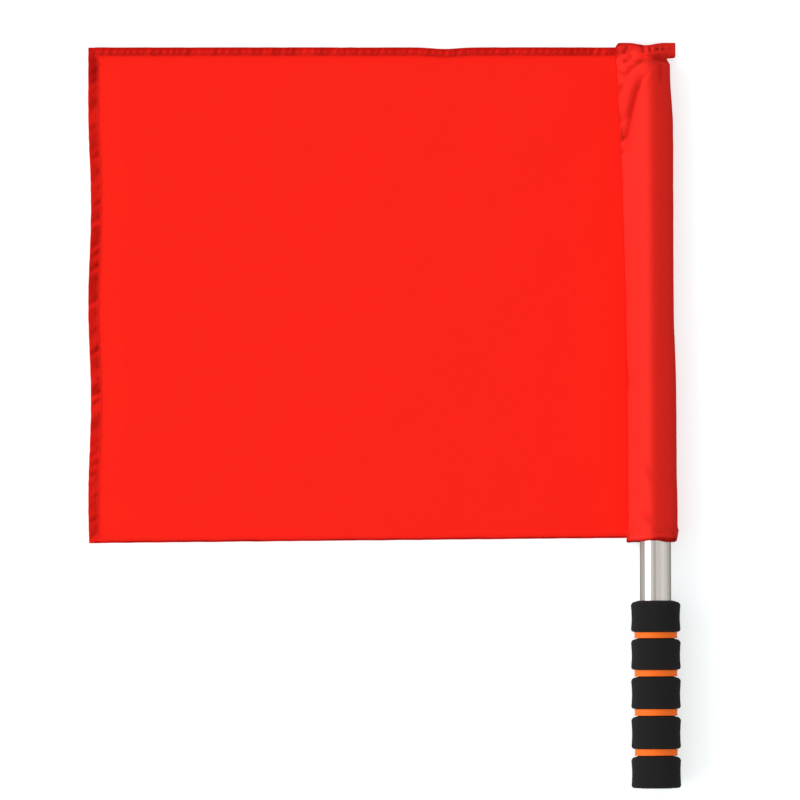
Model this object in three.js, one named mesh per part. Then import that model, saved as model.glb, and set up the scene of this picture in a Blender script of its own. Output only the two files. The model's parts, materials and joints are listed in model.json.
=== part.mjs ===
// A linesman flag lying flat: a steel pole with a banded foam grip, and a cloth panel sewn to a
// pocket that slips over the pole. Millimetres, +Z up, the pole along +Y with its grip at -Y.
import * as THREE from 'three';

// Pole
const poleDiameter = 22;
const poleWall = 0.8;
const bareLength = 41.6; // pole that shows between the grip and the cloth
const leanDegrees = 0.24; // how far the pole leans from the panel's edge, seen from above

// End plugs
const plugClearance = 0.3;
const plugRib = 0.25; // how far the ribs of an insert stand out of its core
const plugRibHalf = 1; // half the length of a rib
const plugRibCount = 3;
const topPlugDome = 2.6;
const topPlugInsert = 16;
const buttPlugHead = 1.4;
const buttPlugProud = 0.5;
const buttPlugInsert = 18;
const plugEdge = 0.5;
const plugBlind = 3; // solid end behind the hollow of an insert
const plugWall = 2.4;

// Grip, with its pieces counted from the butt
const foamWall = 6.2;
const foamLength = 22.6;
const foamLengthShares = [1, 1.03, 1.01, 0.985, 0.975];
const foamCorner = 2.1;
const foamWaist = 0.45; // how far the side of a segment draws in at its middle
const ringWall = 3.9;
const ringLength = 4.8;
const ringLengthShares = [1.03, 1.03, 0.99, 0.93];
const ringEdge = 0.7;
const seatGap = 0.3; // clearance between pieces that seat on each other

// Cloth
const clothThickness = 0.5;
const sleeveClearance = 0.4;
const sleeveLength = 352.6;
const sleeveHem = 7;
const hemThickness = 0.4; // what a folded hem adds
const hemStep = 0.5;
const seamBeside = 7.5; // from the pole's side to the seam, at the mouth of the pocket
const seamFlare = 8.5; // how much further the seam lies at the closed end
const seamFlange = 4; // flat seam allowance of the pocket
const slackMouth = 4.3; // loose cloth beside the pole at the mouth
const slackTip = 0.3;
const bandHeight = 9.9; // flat sewn closure of the pocket
const bandBeside = 4.6; // from the pole's side to the free end of the band
const bandThickness = 1.3;
const bandRise = 7.5; // how high the band arches over the pole's end
const bandEndRise = 2.6;
const bandDip = 1.8; // how far the arch pulls the band's edge down
const bandPucker = 0.35;
const tipGap = 4.2; // from the pole's end to the band
const pocketEnd = 1.2; // solid sewn cloth under the band

// Creases from the pole's end to the seam
const creaseDrops = [20, 48];
const creaseDepth = 1.5;
const creaseWidth = 3.2;

// Panel
const panelWidth = 381.5; // from the fly edge to the seam at the mouth
const panelTopInset = 3.2; // from the band's edge to the panel's top edge
const panelMouthInset = 2.6; // from the mouth of the pocket to the panel's bottom edge
const panelFlyDrop = 3.7; // how much taller the panel is along its fly edge
const panelThickness = 0.4;
const flyHem = 8;
const topHem = 6;
const bottomHem = 4;
const flyWave = 0.8; // how far the fly edge wanders
const flyWaveLength = 134;
const panelWave = 0.7; // height of the long soft waves of the panel
const panelWaveLength = 190;

// How finely the forms are divided
const roundSegments = 32;
const cornerSteps = 3;
const waistSteps = 4;
const domeSteps = 5;
const lineSteps = 4;
const arcPoints = 14;
const sleeveStations = 9;
const panelColumns = 18;
const panelRows = 19;
const taperShare = 1.7; // crowds the stations towards the closed end
const seamCurveShare = 2.6;
const slackCurveShare = 1.3;
const shoulderShare = 0.16; // how far the pocket has flattened where it passes the pole's end

const steel = new THREE.MeshStandardMaterial({ color: 0xd2cdc8, roughness: 0.22, metalness: 1 });
const foam = new THREE.MeshStandardMaterial({ color: 0x262527, roughness: 0.95, metalness: 0 });
const orange = new THREE.MeshStandardMaterial({ color: 0xf9692b, roughness: 0.5, metalness: 0 });
const plugBlack = new THREE.MeshStandardMaterial({ color: 0x1b1b1c, roughness: 0.6, metalness: 0 });
const redCloth = new THREE.MeshStandardMaterial({ color: 0xfe2419, roughness: 0.75, metalness: 0 });

const sum = (values) => values.reduce((total, value) => total + value, 0);
const point = (radius, place) => new THREE.Vector2(radius, place);

// Places along the pole, from the butt
const foamLengths = foamLengthShares.map((share) => share * foamLength);
const ringLengths = ringLengthShares.map((share) => share * ringLength);
const gripLength = sum(foamLengths) + sum(ringLengths);
const mouthPlace = gripLength + bareLength;
const bandTop = mouthPlace + sleeveLength;
const bandBottom = bandTop - bandHeight;
const poleEnd = bandBottom - tipGap;
const tubeStart = buttPlugHead - buttPlugProud;
const tubeEnd = poleEnd - topPlugDome;
const panelSeamHeight = sleeveLength - panelTopInset - panelMouthInset;
const panelFlyHeight = panelSeamHeight + panelFlyDrop;

// The pole rests on the rim of the grip's last segment and, through the cloth, on its far end
const poleRadius = poleDiameter / 2;
const gripBore = poleRadius + seatGap;
const foamRadius = gripBore + foamWall;
const ringRadius = gripBore + ringWall;
const flatShare = Math.cos(Math.PI / roundSegments);
const rimRadius = foamRadius * flatShare;
const rimPlace = gripLength - foamCorner;
const innerWrap = poleRadius + sleeveClearance;
const outerWrap = innerWrap + clothThickness;
const tilt = Math.atan2(rimRadius - outerWrap, tubeEnd - rimPlace);
const buttHeight = rimRadius * Math.cos(tilt) + rimPlace * Math.sin(tilt);

const lean = THREE.MathUtils.degToRad(leanDegrees);
const poleGroup = new THREE.Group();
poleGroup.rotation.set(-tilt, 0, lean, 'ZYX');
poleGroup.position.set((gripLength + bareLength / 2) * Math.tan(lean), 0, buttHeight);
const poleDirection = new THREE.Vector3(0, 1, 0).applyEuler(poleGroup.rotation);

// The pole's axis where it crosses the upright plane at y
function axisAt(y) {
  const along = y / poleDirection.y;
  return poleDirection.clone().multiplyScalar(along).add(poleGroup.position);
}

// A piece turned about the pole's axis, from a profile that closes on itself or on the axis
function addTurned(name, profile, material) {
  const geometry = new THREE.LatheGeometry(profile, roundSegments, Math.PI / roundSegments);
  const mesh = new THREE.Mesh(geometry, material);
  mesh.name = name;
  poleGroup.add(mesh);
}

// Points of a quarter round from one angle to the other about a centre
function roundCorner(centre, radius, fromAngle, toAngle, steps) {
  const points = [];
  for (let i = 0; i <= steps; i++) {
    const angle = fromAngle + ((toAngle - fromAngle) * i) / steps;
    points.push(point(centre.x + radius * Math.cos(angle), centre.y + radius * Math.sin(angle)));
  }
  return points;
}

function addPoleTube() {
  const bore = poleRadius - poleWall;
  const profile = [
    point(bore, tubeStart),
    point(poleRadius, tubeStart),
    point(poleRadius, tubeEnd),
    point(bore, tubeEnd),
    point(bore, tubeStart),
  ];
  addTurned('pole_tube', profile, steel);
}

// The ribbed insert of an end plug, from its head inwards along the tube: sign is 1 towards +Y
function insertProfile(headPlace, insertLength, sign) {
  const ribRadius = poleRadius - poleWall - plugClearance;
  const coreRadius = ribRadius - plugRib;
  const points = [];
  for (let i = 1; i <= plugRibCount; i++) {
    const place = headPlace + (sign * insertLength * i) / (plugRibCount + 1);
    points.push(point(coreRadius, place - sign * plugRibHalf), point(ribRadius, place));
    points.push(point(coreRadius, place + sign * plugRibHalf));
  }
  points.push(point(coreRadius, headPlace + sign * insertLength));
  points.push(point(coreRadius - plugWall, headPlace + sign * insertLength));
  points.push(point(coreRadius - plugWall, headPlace + sign * plugBlind));
  points.push(point(0, headPlace + sign * plugBlind));
  return points;
}

function addTopPlug() {
  const seat = tubeEnd + plugClearance;
  const profile = [point(0, poleEnd)];
  for (let i = 1; i <= domeSteps; i++) {
    const angle = (Math.PI / 2) * (1 - i / domeSteps);
    const height = (poleEnd - seat - plugEdge) * Math.sin(angle);
    profile.push(point(poleRadius * Math.cos(angle), seat + plugEdge + height));
  }
  profile.push(point(poleRadius, seat));
  profile.push(point(poleRadius - poleWall - plugClearance - plugRib, seat));
  profile.push(...insertProfile(seat, topPlugInsert, -1));
  addTurned('top_plug', profile.reverse(), plugBlack);
}

function addButtPlug() {
  const seat = tubeStart - plugClearance;
  const profile = [
    point(0, -buttPlugProud),
    point(poleRadius - plugEdge, -buttPlugProud),
    point(poleRadius, plugEdge - buttPlugProud),
    point(poleRadius, seat),
    point(poleRadius - poleWall - plugClearance - plugRib, seat),
    ...insertProfile(seat, buttPlugInsert, 1),
  ];
  addTurned('butt_plug', profile, plugBlack);
}

// A foam segment: waisted side, rounded rims, and a bore that seats on the pole
function addFoamSegment(name, start, length) {
  const inner = foamRadius - foamCorner;
  const sideLength = length - 2 * foamCorner;
  const lowCorner = point(inner, start + foamCorner);
  const highCorner = point(inner, start + length - foamCorner);
  const profile = [point(gripBore, start)];
  profile.push(...roundCorner(lowCorner, foamCorner, -Math.PI / 2, 0, cornerSteps));
  for (let i = 1; i < waistSteps; i++) {
    const along = i / waistSteps;
    const drawnIn = foamWaist * Math.sin(Math.PI * along);
    profile.push(point(foamRadius - drawnIn, lowCorner.y + sideLength * along));
  }
  profile.push(...roundCorner(highCorner, foamCorner, 0, Math.PI / 2, cornerSteps));
  profile.push(point(gripBore, start + length), point(gripBore, start));
  addTurned(name, profile, foam);
}

// A ring between two segments, with softened edges
function addGripRing(name, start, length) {
  const low = start + seatGap;
  const high = start + length - seatGap;
  const profile = [
    point(gripBore, low),
    point(ringRadius - ringEdge, low),
    point(ringRadius, low + ringEdge),
    point(ringRadius, high - ringEdge),
    point(ringRadius - ringEdge, high),
    point(gripBore, high),
    point(gripBore, low),
  ];
  addTurned(name, profile, orange);
}

function addGrip() {
  let place = 0;
  foamLengths.forEach((length, i) => {
    addFoamSegment(`foam_sleeve_${i + 1}`, place, length);
    place += length;
    if (i < ringLengths.length) {
      addGripRing(`grip_ring_${i + 1}`, place, ringLengths[i]);
      place += ringLengths[i];
    }
  });
}

// Joins closed sections of one count into a solid. Each section lists its upper side from left
// to right and then its lower side from right to left, so an end closes from side to side.
function loft(sections) {
  const count = sections[0].length;
  const index = [];
  for (let s = 0; s + 1 < sections.length; s++) {
    for (let i = 0; i < count; i++) {
      const here = s * count + i;
      const next = s * count + ((i + 1) % count);
      index.push(here, next, here + count);
      index.push(next, next + count, here + count);
    }
  }
  const last = (sections.length - 1) * count;
  for (let i = 0; i + 1 < count / 2; i++) {
    const facing = count - 1 - i;
    index.push(i, facing, i + 1, facing, facing - 1, i + 1);
    index.push(last + i, last + i + 1, last + facing, last + facing, last + i + 1, last + facing - 1);
  }
  const geometry = new THREE.BufferGeometry();
  const positions = sections.flat().flatMap((corner) => corner.toArray());
  geometry.setAttribute('position', new THREE.Float32BufferAttribute(positions, 3));
  geometry.setIndex(index);
  geometry.computeVertexNormals();
  return geometry;
}

// How far a place lies towards the closed end, from 0 at the mouth of the pocket to 1 at the band
function towardsBand(y) {
  return Math.max(0, (y - mouthPlace) / (bandBottom - mouthPlace));
}

// The seam between panel and pocket, as its place across
function seamAt(y) {
  return -poleRadius - seamBeside - seamFlare * Math.pow(towardsBand(y), seamCurveShare);
}

// How deep the creases that run from the pole's end to the seam press into the cloth
function creaseAt(x, y) {
  const tip = axisAt(poleEnd);
  let depth = 0;
  for (const drop of creaseDrops) {
    const foot = bandBottom - drop;
    const start = new THREE.Vector2(tip.x - poleRadius / 2, poleEnd);
    const end = new THREE.Vector2(seamAt(foot), foot);
    const run = end.clone().sub(start);
    const away = new THREE.Vector2(x, y).sub(start).cross(run) / run.length();
    depth += creaseDepth * Math.exp(-Math.pow(away / creaseWidth, 2));
  }
  return depth;
}

// One section of the pocket at y: a flat flange at the seam, then a drop shape round the pole
function dropSection(y, wrap, edge, flange, halfThickness) {
  const axis = axisAt(y);
  const slack = slackMouth + (slackTip - slackMouth) * Math.pow(towardsBand(y), slackCurveShare);
  const foot = edge + flange;
  const upper = [new THREE.Vector3(edge, y, clothThickness + halfThickness)];
  const lower = [new THREE.Vector3(edge, y, clothThickness - halfThickness)];
  const fromFoot = (sign) => {
    const height = clothThickness + sign * halfThickness;
    const seen = new THREE.Vector2(foot - axis.x, height - axis.z);
    const bearing = Math.atan2(seen.y, seen.x) + 2 * Math.PI;
    return { height, angle: bearing - sign * Math.acos(wrap / seen.length()) };
  };
  const top = fromFoot(1);
  const bottom = fromFoot(-1);
  const onWrap = (angle) => {
    const reach = wrap + (Math.cos(angle) > 0 ? slack : 0);
    return new THREE.Vector3(axis.x + reach * Math.cos(angle), y, axis.z + wrap * Math.sin(angle));
  };
  for (let i = 0; i < lineSteps; i++) {
    const along = i / lineSteps;
    const above = new THREE.Vector3(foot, y, top.height).lerp(onWrap(top.angle), along);
    above.z -= creaseAt(above.x, y) * Math.sin(Math.PI * along);
    upper.push(above);
    lower.push(new THREE.Vector3(foot, y, bottom.height).lerp(onWrap(bottom.angle), along));
  }
  const sweep = top.angle - (bottom.angle - 2 * Math.PI);
  const round = [];
  for (let i = 0; i < arcPoints; i++) {
    round.push(onWrap(top.angle - (sweep * i) / (arcPoints - 1)));
  }
  upper.push(...round.slice(0, arcPoints / 2));
  lower.push(...round.slice(arcPoints / 2).reverse());
  return [...upper, ...lower.reverse()];
}

// One section of the flat band that closes the pocket, arched over the pole's end and puckered
function bandSection(y, edge, halfThickness, count) {
  const free = axisAt(bandTop).x + poleRadius + bandBeside;
  const side = count / 2;
  const upper = [];
  const lower = [];
  for (let i = 0; i < side; i++) {
    const along = i / (side - 1);
    const x = edge + (free - edge) * along;
    const arch = Math.sin(Math.PI * along);
    const pucker = bandPucker * (i % 2) * arch;
    const height = bandThickness / 2 + bandEndRise * along + bandRise * arch * arch + pucker;
    const place = y - bandDip * arch * arch * arch * ((y - bandBottom) / bandHeight);
    upper.push(new THREE.Vector3(x, place, height + halfThickness));
    lower.push(new THREE.Vector3(x, place, height - halfThickness));
  }
  return [...upper, ...lower.reverse()];
}

function blendSections(from, to, share) {
  return from.map((corner, i) => corner.clone().lerp(to[i], share));
}

function addPoleSleeve() {
  const hemTop = mouthPlace + sleeveHem;
  const shoulder = tubeEnd + plugClearance + plugEdge;
  const run = [];
  for (let i = 0; i <= sleeveStations; i++) {
    const share = 1 - Math.pow(1 - i / sleeveStations, taperShare);
    run.push(hemTop + hemStep + (shoulder - hemTop - hemStep) * share);
  }
  const outerEdge = (y) => seamAt(y);
  const innerEdge = (y) => seamAt(y) + seamFlange + clothThickness;
  const outer = (y, extra) =>
    dropSection(y, outerWrap + extra, outerEdge(y), seamFlange, clothThickness);
  const inner = (y) =>
    dropSection(y, innerWrap, innerEdge(y), 2 * clothThickness, clothThickness / 4);
  const outside = [outer(mouthPlace, hemThickness), outer(hemTop, hemThickness)];
  const inside = [inner(mouthPlace), inner(hemTop)];
  for (const y of run) {
    outside.push(outer(y, 0));
    inside.push(inner(y));
  }
  const count = outside[0].length;
  const past = poleEnd + clothThickness;
  const flatOuter = bandSection(bandBottom, outerEdge(bandBottom), bandThickness / 2, count);
  const slit = bandBottom - pocketEnd;
  const flatInner = bandSection(slit, innerEdge(slit), clothThickness / 4, count);
  outside.push(blendSections(outer(past, 0), flatOuter, shoulderShare).map((c) => c.setY(past)));
  inside.push(blendSections(inner(past), flatInner, shoulderShare).map((c) => c.setY(past)));
  outside.push(flatOuter);
  outside.push(bandSection(bandTop, outerEdge(bandTop), bandThickness / 2, count));
  inside.push(flatInner);
  const mesh = new THREE.Mesh(loft([...inside.reverse(), ...outside]), redCloth);
  mesh.name = 'pole_sleeve';
  return mesh;
}

// Places across a length with a narrow step at the inner edge of each hem
function hemmedPlaces(length, lowHem, highHem, steps) {
  const places = [0];
  if (lowHem > 0) places.push(lowHem);
  const low = lowHem > 0 ? lowHem + hemStep : 0;
  const high = highHem > 0 ? length - highHem - hemStep : length;
  for (let i = lowHem > 0 ? 0 : 1; i <= steps; i++) {
    places.push(low + ((high - low) * i) / steps);
  }
  if (highHem > 0) places.push(length - highHem, length);
  return places;
}

function addFlagPanel() {
  const top = bandTop - panelTopInset;
  const rows = hemmedPlaces(panelFlyHeight, bottomHem, topHem, panelRows);
  const columns = hemmedPlaces(panelWidth, flyHem, 0, panelColumns);
  const sections = rows.map((row) => {
    const upper = [];
    const lower = [];
    const up = row / panelFlyHeight;
    const fly = seamAt(mouthPlace) - panelWidth;
    const seamHeight = top - panelSeamHeight * (1 - up);
    const edgeWave = flyWave * Math.sin((2 * Math.PI * row) / flyWaveLength);
    for (const column of columns) {
      const across = column / panelWidth;
      const y = THREE.MathUtils.lerp(top - panelFlyHeight * (1 - up), seamHeight, across);
      const right = seamAt(y) - seatGap;
      const x = THREE.MathUtils.lerp(fly + edgeWave, right, across);
      const turn = (2 * Math.PI) / panelWaveLength;
      const swell = Math.sin(turn * (x + y)) * Math.cos(turn * (x - row)) * Math.sin(Math.PI * across);
      const low = (panelWave / 2) * (1 + swell);
      const hemmed = row <= bottomHem || row >= panelFlyHeight - topHem || column <= flyHem;
      const thickness = panelThickness + (hemmed ? hemThickness : 0);
      upper.push(new THREE.Vector3(x, y, low + thickness));
      lower.push(new THREE.Vector3(x, y, low));
    }
    return [...upper, ...lower.reverse()];
  });
  const mesh = new THREE.Mesh(loft(sections), redCloth);
  mesh.name = 'flag_panel';
  return mesh;
}

addPoleTube();
addTopPlug();
addButtPlug();
addGrip();

const lyingFlag = new THREE.Group();
lyingFlag.add(poleGroup, addFlagPanel(), addPoleSleeve());

// The origin is on the surface that the flag lies on, below the middle of its box
const box = new THREE.Box3().setFromObject(lyingFlag, true);
const middle = box.getCenter(new THREE.Vector3());
lyingFlag.position.set(-middle.x, -middle.y, -box.min.z);

const linesmanFlag = new THREE.Group();
linesmanFlag.add(lyingFlag);

export default linesmanFlag;
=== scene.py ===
import json
import math

import bpy
import bmesh
import numpy as np
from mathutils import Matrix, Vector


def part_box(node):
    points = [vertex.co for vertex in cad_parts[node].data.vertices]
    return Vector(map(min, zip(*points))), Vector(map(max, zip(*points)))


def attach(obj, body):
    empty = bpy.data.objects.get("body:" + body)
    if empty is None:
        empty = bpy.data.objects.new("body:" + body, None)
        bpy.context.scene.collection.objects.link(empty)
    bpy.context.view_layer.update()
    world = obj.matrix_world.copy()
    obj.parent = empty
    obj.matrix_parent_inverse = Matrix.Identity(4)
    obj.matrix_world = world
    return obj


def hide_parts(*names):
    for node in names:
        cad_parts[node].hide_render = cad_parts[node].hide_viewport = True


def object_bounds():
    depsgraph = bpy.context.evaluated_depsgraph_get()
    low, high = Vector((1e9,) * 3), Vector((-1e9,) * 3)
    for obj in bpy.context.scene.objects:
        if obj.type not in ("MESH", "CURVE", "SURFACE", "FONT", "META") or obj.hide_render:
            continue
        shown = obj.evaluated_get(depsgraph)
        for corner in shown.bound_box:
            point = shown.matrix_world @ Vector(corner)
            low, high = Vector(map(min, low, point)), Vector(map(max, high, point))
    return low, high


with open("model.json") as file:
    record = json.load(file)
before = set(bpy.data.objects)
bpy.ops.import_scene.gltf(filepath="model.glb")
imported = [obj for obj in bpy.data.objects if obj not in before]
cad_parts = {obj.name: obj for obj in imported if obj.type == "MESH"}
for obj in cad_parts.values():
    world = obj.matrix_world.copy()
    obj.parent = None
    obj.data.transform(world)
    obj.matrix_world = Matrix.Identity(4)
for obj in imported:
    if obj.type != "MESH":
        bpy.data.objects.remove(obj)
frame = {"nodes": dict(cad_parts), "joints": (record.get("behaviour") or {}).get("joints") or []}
cad_low, cad_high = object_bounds()

# Bodies of the frame
STICK = "stick"
FLAG = "flag"

# The pole's axis is the axis of the frame's one joint
joint = frame["joints"][0]
AXIS_POINT = np.array(joint["pos_m"])
AXIS = np.array(joint["axis"]) / np.linalg.norm(joint["axis"])
ACROSS = np.cross(AXIS, (0, 0, 1))
ACROSS = ACROSS / np.linalg.norm(ACROSS)
UPWARD = np.cross(ACROSS, AXIS)


def reach(name):
    """Lowest and highest place of a node along the pole, and its least and greatest radius."""
    points = np.array([v.co for v in frame["nodes"][name].data.vertices]) - AXIS_POINT
    along = points @ AXIS
    away = np.linalg.norm(points - np.outer(along, AXIS), axis=1)
    return along.min(), along.max(), away.min(), away.max()


tube_start, tube_end, BORE_RADIUS, POLE_RADIUS = reach("pole_tube")
pole_tip = reach("top_plug")[1]
panel_low, panel_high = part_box("flag_panel")
sleeve_low, sleeve_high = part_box("pole_sleeve")


# Curves. Sizes are in metres from here on

KNOTS = 1024
GRID = 128
TINY = 1e-9


def smooth(value):
    """0 below 0, 1 above 1, and an even slope between."""
    value = np.clip(value, 0, 1)
    return value * value * (3 - 2 * value)


def rise(value, start, run):
    """0 up to the start, 1 a run beyond it, and an even slope between."""
    return smooth((value - start) / run)


def fall(value, start, run):
    """1 up to the start, 0 a run beyond it, and an even slope between."""
    return 1 - rise(value, start, run)


def bell(value, middle, width):
    """1 at the middle, and less on both sides of it."""
    return np.exp(-(((value - middle) / width) ** 2))


def between(pair, share):
    """From the first of a pair, at 0, to the second, at 1."""
    return pair[0] + (pair[1] - pair[0]) * share


def rounded(share):
    """How high a round edge is, from 0 to 1, at this share of its width."""
    return np.sqrt(1 - (1 - np.clip(share, 0, 1)) ** 2)


def wobble(places, spacing, seed):
    """A smooth random curve from -1 to 1 with a knot every spacing."""
    knots = np.random.default_rng(seed).uniform(-1, 1, KNOTS)
    at = np.asarray(places, float) / spacing + KNOTS // 2
    low = np.floor(at).astype(int)
    share = smooth(at - low)
    return knots[low % KNOTS] * (1 - share) + knots[(low + 1) % KNOTS] * share


def varied(places, level, spread, spacing, seed):
    """A value that wanders about its level."""
    return level + spread * wobble(places, spacing, seed)


def rumple(x, y, spacing, seed):
    """A smooth random surface from -1 to 1 with a knot every spacing."""
    knots = np.random.default_rng(seed).uniform(-1, 1, (GRID, GRID))
    across = np.asarray(x, float) / spacing + GRID // 2
    along = np.asarray(y, float) / spacing + GRID // 2
    left = np.floor(across).astype(int)
    low = np.floor(along).astype(int)
    share = smooth(across - left)
    near, far = (
        knots[left % GRID, row % GRID] * (1 - share) + knots[(left + 1) % GRID, row % GRID] * share
        for row in (low, low + 1)
    )
    share = smooth(along - low)
    return near * (1 - share) + far * share


# Materials

PLAIN_SPECULAR = 0.5
CLOTH_ROUGHNESS = 0.75
CLOTH_SPECULAR = 0.06
THREAD_PITCH = 0.0005
WEAVE_TONE = 0.05
WEAVE_BUMP = 0.00003
SLUB_SCALE = 220.0
SLUB_TONE = 0.04
PANEL_RED = (1.0, 0.0160, 0.0078)
# Painted shade colour of the panel's cloth, towards which the painted shade attribute mixes it
PANEL_PAINTED_SHADE_RED = (0.33, 0.0008, 0.0004)
# The pocket's red: the panel's red with painted sheen, more green and blue
POCKET_RED_PAINTED_SHEEN = (0.97, 0.0275, 0.018)
# Painted shade colour of the pocket's cloth
POCKET_PAINTED_SHADE_RED = (0.33, 0.003, 0.0006)
# How far the painted shade attribute reaches towards the painted shade colours
PAINTED_SHADE_SHARE = 0.766
HEM_THREAD_RED = (0.56, 0.009, 0.005)
POCKET_THREAD_RED = (0.90, 0.022, 0.014)
THREAD_ROUGHNESS = 0.5
FOAM_COLOR = (0.0195, 0.0184, 0.0188)
FOAM_ROUGHNESS = 0.9
FOAM_SPECULAR = 0.05
FOAM_DIFFUSE_ROUGHNESS = 1.0
CELL_SCALE = 1900.0
PATCH_SCALE = 60.0
FOAM_CELL_TONE = 0.25
FOAM_PATCH_TONE = 0.2
FOAM_BUMP = 0.00006
RING_ORANGE = (1.0, 0.172, 0.015)
RING_ROUGHNESS = 0.6
RING_SPECULAR = 0.15
PLUG_BLACK = (0.018, 0.018, 0.019)
PLUG_ROUGHNESS = 0.45
MOULDED_SPECULAR = 0.4
MOULDED_TONE = 0.12
MOULDED_DETAIL = 4.0
# Scale and depth of a grain
MOULDED_GRAIN = (2500.0, 0.00001)
THREAD_GRAIN = (1500.0, 0.00002)
STEEL_COLOR = (0.58, 0.535, 0.505)
STEEL_EDGE = (0.50, 0.44, 0.41)
STEEL_ROUGHNESS = 0.18
STEEL_ROUGHNESS_SPREAD = 0.06
STEEL_BRUSHED = 0.9
STEEL_BRUSHED_TURN = 0.25
STEEL_TONE = 0.06
LINE_SCALE = (4000.0, 20.0, 4000.0)
LINE_DETAIL = 3.0
LINE_BUMP = 0.0000015


def new_material(name, color, roughness, specular=PLAIN_SPECULAR, metallic=0.0):
    """A material, its node tree and its shader, with these values on the shader's own sockets."""
    material = bpy.data.materials.new(name)
    material.use_nodes = True
    shader = material.node_tree.nodes["Principled BSDF"]
    shader.inputs["Base Color"].default_value = (*color, 1)
    shader.inputs["Roughness"].default_value = roughness
    shader.inputs["Metallic"].default_value = metallic
    shader.inputs["Specular IOR Level"].default_value = specular
    return material, material.node_tree, shader


def add(tree, kind, inputs=None, **settings):
    """A node of this kind, with its settings, and its inputs set or linked."""
    node = tree.nodes.new(kind)
    for key, value in settings.items():
        setattr(node, key, value)
    for key, value in (inputs or {}).items():
        if isinstance(value, bpy.types.NodeSocket):
            tree.links.new(value, node.inputs[key])
        else:
            node.inputs[key].default_value = value
    return node


def maths(tree, operation, *values):
    """What a math node makes of these values."""
    return add(tree, "ShaderNodeMath", dict(enumerate(values)), operation=operation).outputs[0]


def spread(tree, pattern, amount):
    """A level about 1 that follows a pattern from 0 to 1."""
    return maths(tree, "MULTIPLY_ADD", pattern, amount, 1 - amount / 2)


def finished(tree, shader, color, level, height, distance):
    """Links the shader's colour, made lighter or darker by a level, and its bump."""
    shade = add(tree, "ShaderNodeVectorMath", {0: color, "Scale": level}, operation="SCALE")
    tree.links.new(shade.outputs[0], shader.inputs["Base Color"])
    bump = add(tree, "ShaderNodeBump", {"Strength": 1.0, "Distance": distance, "Height": height})
    tree.links.new(bump.outputs["Normal"], shader.inputs["Normal"])


def cloth_material(name, unshaded_color, painted_shade_color):
    """Plain-woven polyester, mixed towards a painted shade colour by the painted_shade attribute: painted
    shade where the cloth is doubled, turned from the light or in a hollow.
    """
    material, tree, shader = new_material(name, unshaded_color, CLOTH_ROUGHNESS, CLOTH_SPECULAR)
    painted_shade = add(tree, "ShaderNodeAttribute", attribute_name="painted_shade")
    weave = add(tree, "ShaderNodeAttribute", attribute_name="weave").outputs["Vector"]
    # A colour mix takes its factor at 0 and its colours at 6 and 7
    colors = {0: painted_shade.outputs["Fac"], 6: (*unshaded_color, 1), 7: (*painted_shade_color, 1)}
    color = add(tree, "ShaderNodeMix", colors, data_type="RGBA").outputs[2]
    split = add(tree, "ShaderNodeSeparateXYZ", {0: weave})
    threads = [
        maths(tree, "SINE", maths(tree, "MULTIPLY", split.outputs[axis], 2 * math.pi / THREAD_PITCH))
        for axis in ("X", "Y")
    ]
    crossing = maths(tree, "MULTIPLY", *threads)
    slub = add(tree, "ShaderNodeTexNoise", {"Vector": weave, "Scale": SLUB_SCALE})
    light = maths(tree, "MULTIPLY_ADD", crossing, WEAVE_TONE, 1 - SLUB_TONE / 2)
    light = maths(tree, "MULTIPLY_ADD", slub.outputs["Fac"], SLUB_TONE, light)
    finished(tree, shader, color, light, crossing, WEAVE_BUMP)
    return material


def foam_material():
    material, tree, shader = new_material("black_foam", FOAM_COLOR, FOAM_ROUGHNESS, FOAM_SPECULAR)
    shader.inputs["Diffuse Roughness"].default_value = FOAM_DIFFUSE_ROUGHNESS
    place = add(tree, "ShaderNodeTexCoord").outputs["Object"]
    cells = add(tree, "ShaderNodeTexVoronoi", {"Vector": place, "Scale": CELL_SCALE}).outputs["Distance"]
    patches = add(tree, "ShaderNodeTexNoise", {"Vector": place, "Scale": PATCH_SCALE}).outputs["Fac"]
    light = maths(tree, "MULTIPLY_ADD", patches, FOAM_PATCH_TONE, spread(tree, cells, FOAM_CELL_TONE))
    finished(tree, shader, FOAM_COLOR, light, cells, FOAM_BUMP)
    return material


def moulded_material(name, color, roughness, grain, specular=MOULDED_SPECULAR):
    scale, depth = grain
    material, tree, shader = new_material(name, color, roughness, specular)
    place = add(tree, "ShaderNodeTexCoord").outputs["Object"]
    inputs = {"Vector": place, "Scale": scale, "Detail": MOULDED_DETAIL}
    pattern = add(tree, "ShaderNodeTexNoise", inputs).outputs["Fac"]
    finished(tree, shader, color, spread(tree, pattern, MOULDED_TONE), pattern, depth)
    return material


def steel_material():
    """Stainless tube, polished along its length, so the fine lines run with the pole."""
    material, tree, shader = new_material("stainless_steel", STEEL_COLOR, STEEL_ROUGHNESS, metallic=1.0)
    shader.inputs["Specular Tint"].default_value = (*STEEL_EDGE, 1)
    shader.inputs["Anisotropic"].default_value = STEEL_BRUSHED
    shader.inputs["Anisotropic Rotation"].default_value = STEEL_BRUSHED_TURN
    around = add(tree, "ShaderNodeTangent", direction_type="RADIAL", axis="Y")
    tree.links.new(around.outputs["Tangent"], shader.inputs["Tangent"])
    place = add(tree, "ShaderNodeTexCoord").outputs["Object"]
    lines = add(tree, "ShaderNodeMapping", {"Vector": place, "Scale": LINE_SCALE}).outputs[0]
    inputs = {"Vector": lines, "Scale": 1.0, "Detail": LINE_DETAIL}
    grain = add(tree, "ShaderNodeTexNoise", inputs).outputs["Fac"]
    rough = maths(tree, "MULTIPLY_ADD", grain, STEEL_ROUGHNESS_SPREAD, STEEL_ROUGHNESS)
    tree.links.new(rough, shader.inputs["Roughness"])
    finished(tree, shader, STEEL_COLOR, spread(tree, grain, STEEL_TONE), grain, LINE_BUMP)
    return material


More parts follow.
